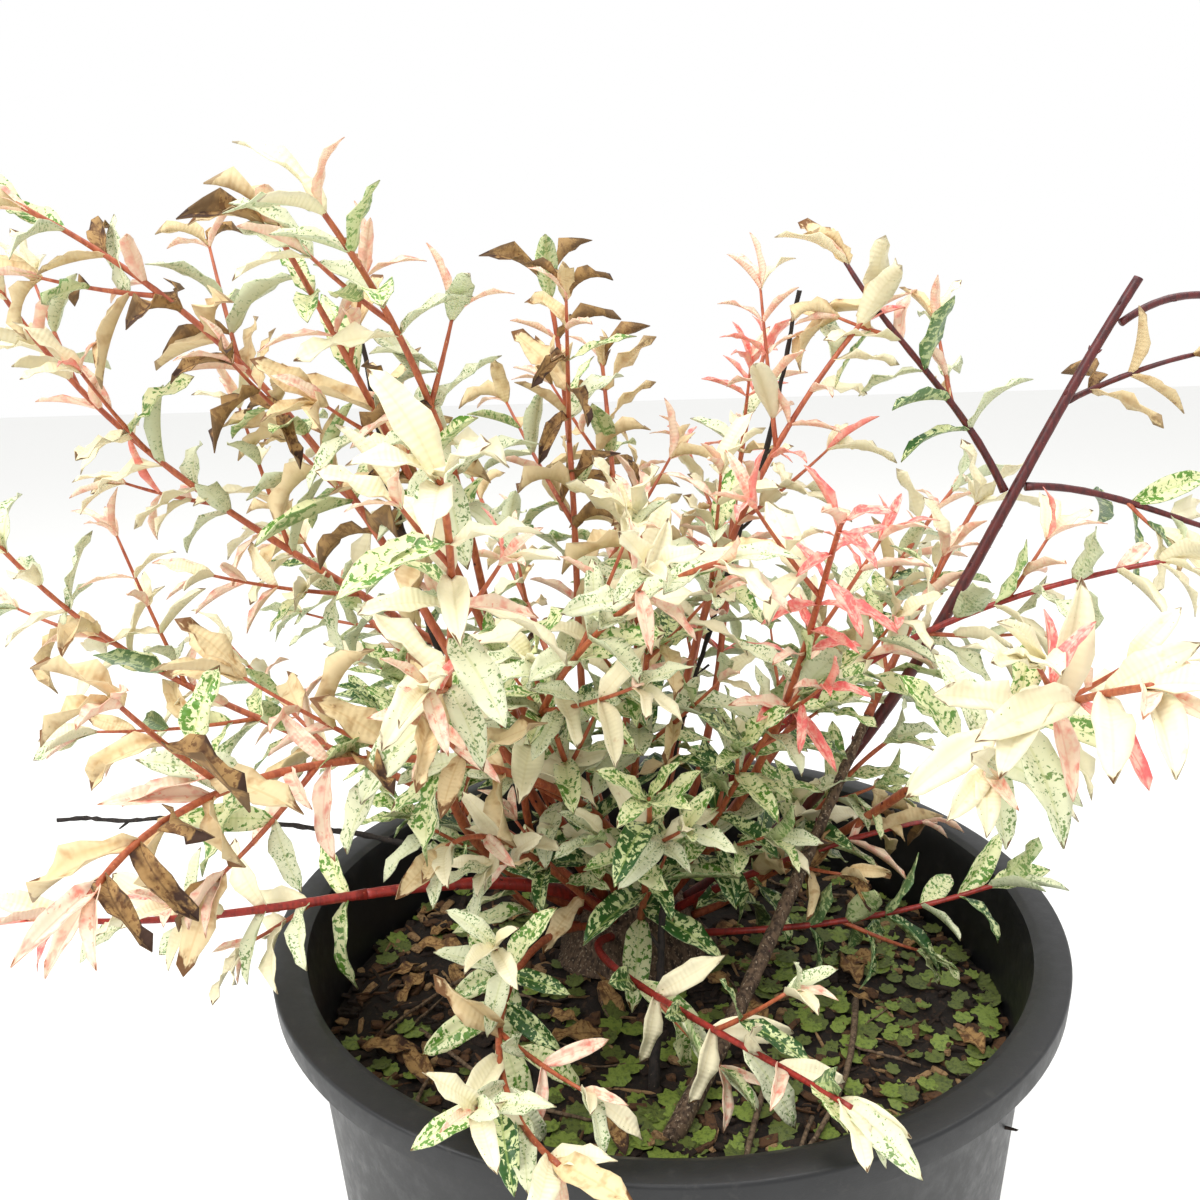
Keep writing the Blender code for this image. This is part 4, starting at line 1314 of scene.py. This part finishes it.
class Limbs:
    """The bare boughs, dead twigs and the old stick, with their bark's relief and buds."""

    step = 0.0022
    bud_spacing = 0.017

    def __init__(self, skeleton: Skeleton) -> None:
        """Keep the laid paths.

        Args:
            skeleton: the laid paths.
        """
        self.skeleton = skeleton
        self.buds = Batch()

    def relief(self, piece: bpy.types.Object, depth: float, grain: float) -> None:
        """Furrow a limb's bark.

        Args:
            piece: the limb.
            depth: depth of the furrows.
            grain: width of the furrows.
        """
        mesh = piece.data
        for vert in mesh.vertices:
            spot = Vector((vert.co.x / grain, vert.co.y / grain, vert.co.z / grain / 5))
            vert.co += vert.normal * depth * (noise.noise(spot) + 0.5 * noise.noise(spot * 2.3))

    def bud(self, root: np.ndarray, way: np.ndarray, size: float) -> None:
        """Add a small pointed bud.

        Args:
            root: where it sits.
            way: where it points.
            size: its length.
        """
        bm = bmesh.new()
        bmesh.ops.create_uvsphere(bm, u_segments=6, v_segments=4, radius=0.5)
        bmesh.ops.triangulate(bm, faces=bm.faces)
        above, side = side_frame(way)
        turn = np.stack((above, side, way), axis=1)
        local = np.array([tuple(vert.co) for vert in bm.verts]) + (0, 0, 0.35)
        local[:, :2] *= (0.55 - 0.35 * local[:, 2:])
        faces = corners(bm.faces)
        bm.free()
        self.buds.add(local @ turn.T * size + root, faces)

    def build(self) -> None:
        """Make each limb its own piece, and one piece of all buds."""
        for order, shoot in enumerate(SHOOTS):
            if not shoot.bough:
                continue
            rng = random.Random(SEED * 7 + order)
            points, radii = self.skeleton.section(shoot, 0.0, shoot.bare, self.step)
            if shoot.foot is not None:
                points[0] -= normalised(points[1] - points[0]) * shoot.girth
            dead = shoot.bark is Bark.DEAD
            node = shoot.name if dead else "bough_" + shoot.name
            lines = [(points, radii)]
            if dead:
                crook = np.array([noise.noise_vector(Vector(p / 0.022)) for p in points])
                fade = np.linspace(0, 1, len(points))[:, None]
                points += crook * 0.0022 * fade
                lines += self.stubs(points, radii, rng)
            name = ("dead_" if dead else "limb_") + shoot.name.removeprefix("dead_")
            piece = tubes(name, lines, BARKS[shoot.bark], 4)
            old = shoot.bark in (Bark.OLD, Bark.DEAD)
            self.relief(piece, 0.0005 if old else 0.00012, 0.0022)
            slot = "dead_wood" if dead else "old_bark" if old else "young_bark"
            settle(piece, slot, node)
            if not dead:
                self.add_buds(points, radii, rng)
        buds = self.buds.show("buds", BARKS[Bark.MAROON])
        settle(buds, "young_bark")

    def stubs(self, points: np.ndarray, radii: np.ndarray, rng: random.Random) -> list:
        """Return short side stubs of a dead twig, as points and radii."""
        made = []
        for share in np.arange(0.35, 0.95, 0.13):
            centre, tangent = station(points, share)
            way = normalised(tangent + side_way(tangent, rng.uniform(0, 360)) * 0.9)
            reach = rng.uniform(0.003, 0.012)
            line = centre + way * np.linspace(0, reach, 4)[:, None]
            made.append((line, np.linspace(radii[-1] * 0.8, radii[-1] * 0.5, 4)))
        return made

    def add_buds(self, points: np.ndarray, radii: np.ndarray, rng: random.Random) -> None:
        """Set pairs of buds along a limb.

        Args:
            points: the limb's points.
            radii: its radii.
            rng: seeded random numbers.
        """
        length = path_length(points)
        turn = rng.uniform(0, 360)
        for run in np.arange(0.020, length - 0.004, self.bud_spacing):
            share = run / length
            centre, tangent = station(points, share)
            radius = float(np.interp(share, np.linspace(0, 1, len(radii)), radii))
            turn += 90 + rng.uniform(-15, 15)
            for pair in range(2):
                out = side_way(tangent, turn + 180 * pair)
                way = normalised(out * 0.6 + tangent)
                self.bud(centre + out * radius * 0.8, way, rng.uniform(0.0016, 0.0026))


@dataclass
class Stool:
    """Woody dome with a flared foot, furrowed and knobbly."""

    sides: int = 56
    flare: float = 0.24
    flare_height: float = 0.0045
    buttresses: int = 5
    knob: float = 0.0016

    def build(self) -> None:
        """Make the dome in place of its solid."""
        bm = bmesh.new()
        bmesh.ops.create_uvsphere(bm, u_segments=self.sides, v_segments=self.sides // 2,
                                  radius=STOOL_RADIUS)
        cut = -STOOL_LIFT + GAP
        sliced = bmesh.ops.bisect_plane(
            bm, geom=bm.verts[:] + bm.edges[:] + bm.faces[:], dist=1e-7,
            plane_co=(0, 0, cut), plane_no=(0, 0, 1), clear_inner=True)
        rim = [part for part in sliced["geom_cut"] if isinstance(part, bmesh.types.BMEdge)]
        bmesh.ops.edgeloop_fill(bm, edges=rim)
        for vert in bm.verts:
            height = vert.co.z - cut
            turn = math.atan2(vert.co.y, vert.co.x)
            ridge = 1 + 0.35 * math.cos(self.buttresses * turn)
            swell = math.exp(-height / self.flare_height) * ridge
            vert.co.x *= 1 + self.flare * swell
            vert.co.y *= 1 + self.flare * swell
            if height > 0.0005:
                spot = vert.co / 0.006
                vert.co += vert.co.normalized() * self.knob * noise.noise(spot)
        bmesh.ops.recalc_face_normals(bm, faces=bm.faces)
        bmesh.ops.translate(bm, verts=bm.verts, vec=STOOL_CENTRE)
        settle(show("stool_wood", bm, BARKS[Bark.OLD]), "old_bark", "stool")


def turned(profile: list, sides: int) -> bmesh.types.BMesh:
    """Spin a profile that starts and ends on the axis into a closed solid.

    Args:
        profile: radius and height of each point.
        sides: steps round the axis.

    Returns:
        The solid.
    """
    bm = bmesh.new()
    points = [bm.verts.new((radius, 0, height)) for radius, height in profile]
    edges = [bm.edges.new(pair) for pair in zip(points, points[1:])]
    bmesh.ops.spin(bm, geom=points + edges, cent=(0, 0, 0), axis=(0, 0, 1),
                   angle=2 * math.pi, steps=sides, use_merge=True)
    bmesh.ops.remove_doubles(bm, verts=bm.verts, dist=1e-5)
    bmesh.ops.recalc_face_normals(bm, faces=bm.faces)
    return bm


def wall_radius(height: float) -> float:
    """Return the outer radius of the pot's wall at a height."""
    share = height / (POT_HEIGHT - RIM_DEPTH)
    return WALL_BASE_RADIUS + (WALL_TOP_RADIUS - WALL_BASE_RADIUS) * share


@dataclass
class Pot:
    """Nursery pot: a tapered wall and floor with a folded rim, and drain holes round its foot."""

    sides: int = 160
    round_steps: int = 3
    round_radius: float = 0.0011

    def profile(self) -> list:
        """Return the wall's outline from the middle of its underside to that of its floor."""
        top = POT_HEIGHT
        low = top - RIM_DEPTH
        skirt = RIM_RADIUS - SKIRT_INSET
        outline = [(0, 0), (WALL_BASE_RADIUS - FOOT_CHAMFER, 0)]
        outline += self.rounded(WALL_BASE_RADIUS - FOOT_CHAMFER, FOOT_CHAMFER, FOOT_CHAMFER)
        outline += [(wall_radius(0.06), 0.06), (wall_radius(0.12), 0.12),
                    (wall_radius(0.18), 0.18), (WALL_TOP_RADIUS, low),
                    (WALL_TOP_RADIUS + 0.0005, top - RIM_SKIN),
                    (RIM_RADIUS - RIM_SKIN, top - RIM_SKIN), (skirt - RIM_SKIN, low),
                    (skirt, low)]
        centre = (RIM_RADIUS - self.round_radius, top - self.round_radius)
        for i in range(self.round_steps + 1):
            turn = math.pi / 2 * i / self.round_steps
            outline.append((centre[0] + self.round_radius * math.cos(turn),
                            centre[1] + self.round_radius * math.sin(turn)))
        outline += [(RIM_INNER_RADIUS + 0.001, top), (RIM_INNER_RADIUS, top - 0.0004),
                    (RIM_INNER_RADIUS - 0.0020, top - 0.0016),
                    (wall_radius(top - 0.006) - WALL, top - 0.006),
                    (wall_radius(0.12) - WALL, 0.12),
                    (wall_radius(FLOOR) - WALL, FLOOR), (0, FLOOR)]
        return outline

    def rounded(self, start: float, rise: float, run: float) -> list:
        """Return the points of a quarter round at the foot's edge."""
        points = []
        for i in range(1, self.round_steps + 1):
            turn = math.pi / 2 * i / self.round_steps
            radius = start + (wall_radius(rise) - start) * math.sin(turn)
            points.append((radius, run * (1 - math.cos(turn))))
        return points

    def build(self) -> None:
        """Make the pot in place of its solid."""
        piece = show("pot_shell", turned(self.profile(), self.sides), PotFinish().material())
        cutters = bmesh.new()
        for k in range(DRAIN_COUNT):
            turn = 2 * math.pi * (k + 0.5) / DRAIN_COUNT
            block = bmesh.ops.create_cube(cutters, size=1.0)["verts"]
            size = (DRAIN_LENGTH, DRAIN_WIDTH, DRAIN_HEIGHT)
            bmesh.ops.scale(cutters, verts=block, vec=size)
            place = (WALL_BASE_RADIUS, 0, DRAIN_HEIGHT * 0.35)
            bmesh.ops.translate(cutters, verts=block, vec=place)
            bmesh.ops.rotate(cutters, verts=block, cent=(0, 0, 0),
                             matrix=Matrix.Rotation(turn, 3, "Z"))
        cutter = show("drain_cutter", cutters, piece.data.materials[0])
        cut = piece.modifiers.new("drain holes", "BOOLEAN")
        cut.operation = "DIFFERENCE"
        cut.object = cutter
        shaped = piece.evaluated_get(bpy.context.evaluated_depsgraph_get())
        mesh = bpy.data.meshes.new_from_object(shaped)
        piece.modifiers.clear()
        piece.data = mesh
        mesh.shade_smooth()
        mesh.set_sharp_from_angle(angle=math.radians(35))
        bpy.data.objects.remove(cutter)
        settle(piece, "pot_plastic", "pot")


@dataclass
class Filling:
    """Potting bark with chips, fallen leaves, sticks and low green growth on it."""

    sides: int = 144
    ring: float = 0.0016
    hump: float = 0.0026
    chips: int = 1500
    rosettes: int = 520
    fallen: int = 46
    reach: float = 0.1235
    sunk: float = 0.0022
    stool_clear: float = 0.030
    loose_sticks: int = 26
    seed: int = SEED * 3

    def level(self, x: float, y: float) -> float:
        """Return the height of the filling's surface."""
        reach = math.hypot(x, y)
        spot = Vector((x / 0.018, y / 0.018, 1.7))
        height = SOIL_LEVEL - self.sunk + self.hump * 0.7 * noise.noise(spot)
        height += self.hump * 0.35 * noise.noise(spot * 3.1)
        edge = max(0.0, (reach - self.reach + SOIL_EDGE_WIDTH) / SOIL_EDGE_WIDTH)
        return height - SOIL_EDGE_DIP * edge * edge

    def surface(self) -> None:
        """Make the filling in place of its solid, rough on top."""
        inner = WALL + GAP
        low = FLOOR + GAP
        edge = SOIL_LEVEL - SOIL_EDGE_DIP
        outer = wall_radius(edge) - inner
        rings = int(outer / self.ring)
        profile = [(0, low), (wall_radius(low) - inner - 0.0006, low)]
        profile += [(outer * (rings - i) / rings, edge) for i in range(rings + 1)]
        bm = turned(profile, self.sides)
        for vert in bm.verts:
            if vert.co.z > low + 0.01:
                grit = self.hump * 0.4 * noise.noise(vert.co / 0.0022)
                vert.co.z = self.level(vert.co.x, vert.co.y) + grit
        soil = GroundFinish("Composted bark", "1B130D", "3B2A1B", 2.2, share=0.42)
        settle(show("filling", bm, soil.material()), "bark_mix", "soil")

    def spot(self, rng: random.Random) -> tuple:
        """Draw a place on the surface, clear of the stool."""
        while True:
            reach = self.reach * math.sqrt(rng.random())
            turn = rng.uniform(0, 2 * math.pi)
            x, y = reach * math.cos(turn), reach * math.sin(turn)
            if math.hypot(x - STOOL_X, y - STOOL_Y) > self.stool_clear:
                return x, y

    def scatter_chips(self) -> None:
        """Strew bark chips of three tones."""
        rng = random.Random(self.seed)
        tones = {
            "dark": GroundFinish("Dark bark chip", "2A1C12", "150E09", 1.5),
            "brown": GroundFinish("Brown bark chip", "5A3D25", "3A2718", 1.5),
            "tan": GroundFinish("Tan bark chip", "9A7B55", "6B4E33", 1.2),
        }
        batches = {name: Batch() for name in tones}
        for _ in range(self.chips):
            x, y = self.spot(rng)
            tone = rng.choices(list(tones), (5, 3, 1.3))[0]
            bm = bmesh.new()
            bmesh.ops.create_cube(bm, size=1.0)
            bmesh.ops.bevel(bm, geom=bm.edges[:], offset=0.18, segments=1, affect="EDGES",
                            profile=0.5, material=-1)
            bmesh.ops.triangulate(bm, faces=bm.faces)
            for vert in bm.verts:
                vert.co += noise.noise_vector(vert.co * 2 + Vector((x, y, 0)) * 900) * 0.22
            size = Vector((rng.uniform(3, 9), rng.uniform(1.5, 4), rng.uniform(0.8, 2))) * MM
            if rng.random() < 0.25:
                size = Vector((rng.uniform(8, 15), 1.0, 0.9)) * MM
            tilt = Matrix.Rotation(rng.uniform(0, 6.3), 3, "Z")
            tilt = tilt @ Matrix.Rotation(rng.uniform(-0.35, 0.35), 3, "Y")
            place = Vector((x, y, self.level(x, y) + size.z * 0.5))
            verts = np.array([tuple(tilt @ Vector(map(float.__mul__, v.co, size)) + place)
                              for v in bm.verts])
            faces = corners(bm.faces)
            bm.free()
            batches[tone].add(verts, faces)
        for name, batch in batches.items():
            settle(batch.show("chips_" + name, tones[name].material(), False), "bark_mix")

    def grow_rosettes(self) -> None:
        """Grow low scalloped rosettes, dense at the right and the front."""
        rng = random.Random(self.seed + 1)
        tones = {
            "olive": GroundFinish("Olive rosette", "5E6A2E", "3F4B20", 1.4, 0.6, 0.5, 0.3),
            "bright": GroundFinish("Bright rosette", "7C8F3C", "55682A", 1.4, 0.55, 0.5, 0.3),
        }
        batches = {name: Batch() for name in tones}
        made = 0
        while made < self.rosettes:
            x, y = self.spot(rng)
            wanted = 0.25 + 0.75 * max(0.0, min(1.0, (x * 0.8 - y * 0.75) / 0.07 + 0.15))
            if rng.random() > wanted:
                continue
            made += 1
            tone = "bright" if rng.random() < 0.45 else "olive"
            lobes = rng.choice((6, 7, 8))
            bm = bmesh.new()
            bmesh.ops.create_circle(bm, cap_ends=True, cap_tris=True, segments=lobes * 3,
                                    radius=1.0)
            bmesh.ops.inset_region(bm, faces=bm.faces[:], thickness=0.28)
            radius = rng.uniform(2.4, 4.8) * MM
            phase = rng.uniform(0, 6.3)
            verts = []
            for vert in bm.verts:
                reach = vert.co.to_2d().length
                turn = math.atan2(vert.co.y, vert.co.x)
                scallop = 1 + 0.12 * math.cos(lobes * turn) * reach
                rise = 0.30 * reach - 0.42 * reach ** 4 + 0.10 * math.cos(lobes * turn) * reach
                verts.append((vert.co.x * scallop, vert.co.y * scallop, rise))
            bm.verts.index_update()
            tris = bmesh.ops.triangulate(bm, faces=bm.faces)["faces"]
            faces = corners(tris)
            bm.free()
            turn = Matrix.Rotation(phase, 3, "Z") @ Matrix.Rotation(rng.uniform(-0.3, 0.3), 3, "X")
            local = np.array(verts) @ np.array(turn).T * radius
            lift = self.level(x, y) + 0.0012 + rng.uniform(0, 0.0016)
            batches[tone].add(local + (x, y, lift), faces)
        for name, batch in batches.items():
            settle(batch.show("rosettes_" + name, tones[name].material()), "bark_mix")

    def drop_leaves(self) -> None:
        """Lay fallen brown leaves on the surface."""
        rng = random.Random(self.seed + 2)
        shapes = [LeafShape(Curl.WAVY, 0.32, 90 + i) for i in range(4)]
        batch = Batch()
        for _ in range(self.fallen):
            x, y = self.spot(rng)
            if x > 0.03 and rng.random() < 0.6:
                continue
            way = unit(rng.uniform(0, 360), rng.uniform(-6, 10))
            shape = rng.choice(shapes)
            length = rng.uniform(0.014, 0.030)
            place = np.array((x, y, self.level(x, y) + 0.0035))
            cell = random_cell(rng)
            verts = shape.placed(place, way, length)
            if np.hypot(verts[:, 0], verts[:, 1]).max() < self.reach:
                batch.add(verts, shape.faces, shape.sheet + cell)
        settle(batch.show("fallen_leaves", LEAVES[Leaf.DRY]), "foliage")

    def lay_sticks(self) -> None:
        """Lay dry sticks on the surface, the ones in front of the stool given one by one."""
        rng = random.Random(self.seed + 3)
        lines = []
        chosen = (
            (-0.088, -0.028, -0.046, -0.066, 0.9), (-0.046, -0.066, -0.018, -0.074, 0.8),
            (-0.012, -0.104, 0.030, -0.102, 1.1), (0.034, -0.052, 0.020, -0.106, 1.2),
            (0.070, -0.010, 0.040, -0.090, 1.3), (0.046, -0.070, 0.036, -0.106, 0.8),
            (-0.070, 0.010, -0.100, -0.030, 0.9),
        )
        for x0, y0, x1, y1, girth in chosen:
            lines.append(self.stick(x0, y0, x1, y1, girth * MM, rng))
        for _ in range(self.loose_sticks):
            x, y = self.spot(rng)
            turn = rng.uniform(0, 2 * math.pi)
            reach = rng.uniform(0.010, 0.030)
            x1, y1 = x + reach * math.cos(turn), y + reach * math.sin(turn)
            if math.hypot(x1, y1) < self.reach - 0.003:
                lines.append(self.stick(x, y, x1, y1, rng.uniform(0.4, 0.9) * MM, rng))
        sticks = BarkFinish("dry stick", "7B6650", "4A3A2C", "A8957A", 0.9)
        settle(tubes("sticks", lines, sticks.material(), 1), "dead_wood")

    def stick(self, x0: float, y0: float, x1: float, y1: float, girth: float,
              rng: random.Random) -> tuple:
        """Return the points and radii of a stick that lies between two places."""
        t = np.linspace(0, 1, 9)
        bow = rng.uniform(-0.06, 0.06)
        x = x0 + (x1 - x0) * t - (y1 - y0) * bow * np.sin(t * math.pi)
        y = y0 + (y1 - y0) * t + (x1 - x0) * bow * np.sin(t * math.pi)
        z = [self.level(a, b) + girth + 0.0016 for a, b in zip(x, y)]
        return np.column_stack((x, y, z)), np.linspace(girth, girth * 0.6, 9)

    def build(self) -> None:
        """Make the filling and all that lies and grows on it."""
        self.surface()
        self.scatter_chips()
        self.grow_rosettes()
        self.drop_leaves()
        self.lay_sticks()


@dataclass(frozen=True)
class Studio:
    """Plain pale floor, soft light and a camera at the photograph's viewing angle."""

    lens: float = 33.0
    eye: tuple = (0.0, -0.3698, 0.4492)
    heading: float = 3.11
    dip: float = 14.24
    roll: float = -1.75
    floor_width: float = 12.0

    def build(self) -> None:
        """Set the camera, floor, sky and lights."""
        data = bpy.data.cameras.new("camera")
        data.lens = self.lens
        data.sensor_width = 36.0
        data.clip_start = 0.01
        camera = bpy.data.objects.new("camera", data)
        turn = Matrix.Rotation(math.radians(self.heading), 4, "Z")
        turn = turn @ Matrix.Rotation(math.radians(90 - self.dip), 4, "X")
        turn = turn @ Matrix.Rotation(math.radians(self.roll), 4, "Z")
        camera.matrix_world = Matrix.Translation(self.eye) @ turn
        scene = bpy.context.scene
        scene.collection.objects.link(camera)
        scene.camera = camera
        scene.view_settings.view_transform = "Standard"
        bm = bmesh.new()
        bmesh.ops.create_grid(bm, x_segments=1, y_segments=1, size=self.floor_width / 2)
        bmesh.ops.translate(bm, verts=bm.verts, vec=(0, 0, -0.0005))
        material, _, shader = new_material("Pale floor", "F4F4F2", 0.9)
        shader.inputs["Specular IOR Level"].default_value = 0.1
        show("floor", bm, material)
        world = bpy.data.worlds.new("studio")
        world.use_nodes = True
        world.node_tree.nodes["Background"].inputs[0].default_value = (1, 1, 1, 1)
        world.node_tree.nodes["Background"].inputs[1].default_value = 1.0
        scene.world = world
        self.light("key", (-0.9, -0.9, 1.6), 1.0, 24.0)
        self.light("top", (0.5, 0.3, 1.9), 1.2, 14.0)

    def light(self, name: str, place: tuple, width: float, power: float) -> None:
        """Add a soft light that looks at the plant.

        Args:
            name: its name.
            place: where it hangs.
            width: width of its face.
            power: its power in watts.
        """
        data = bpy.data.lights.new(name, "AREA")
        data.size = width
        data.energy = power
        lamp = bpy.data.objects.new(name, data)
        lamp.location = place
        aim = Vector((0, 0, 0.3)) - Vector(place)
        lamp.rotation_euler = aim.to_track_quat("-Z", "Y").to_euler()
        bpy.context.scene.collection.objects.link(lamp)


LEAVES = {kind: finish.material() for kind, finish in LEAF_FINISHES.items()}
BARKS = {bark: finish.material() for bark, finish in BARK_FINISHES.items()}


def main() -> None:
    """Build the pot, its filling, the stool, the limbs and the foliage, and the studio."""
    logging.basicConfig(level=logging.INFO, format="%(name)s %(message)s")
    skeleton = Skeleton()
    Pot().build()
    Filling().build()
    Stool().build()
    Limbs(skeleton).build()
    Foliage(skeleton).build()
    Studio().build()


if __name__ == "__main__":
    main()
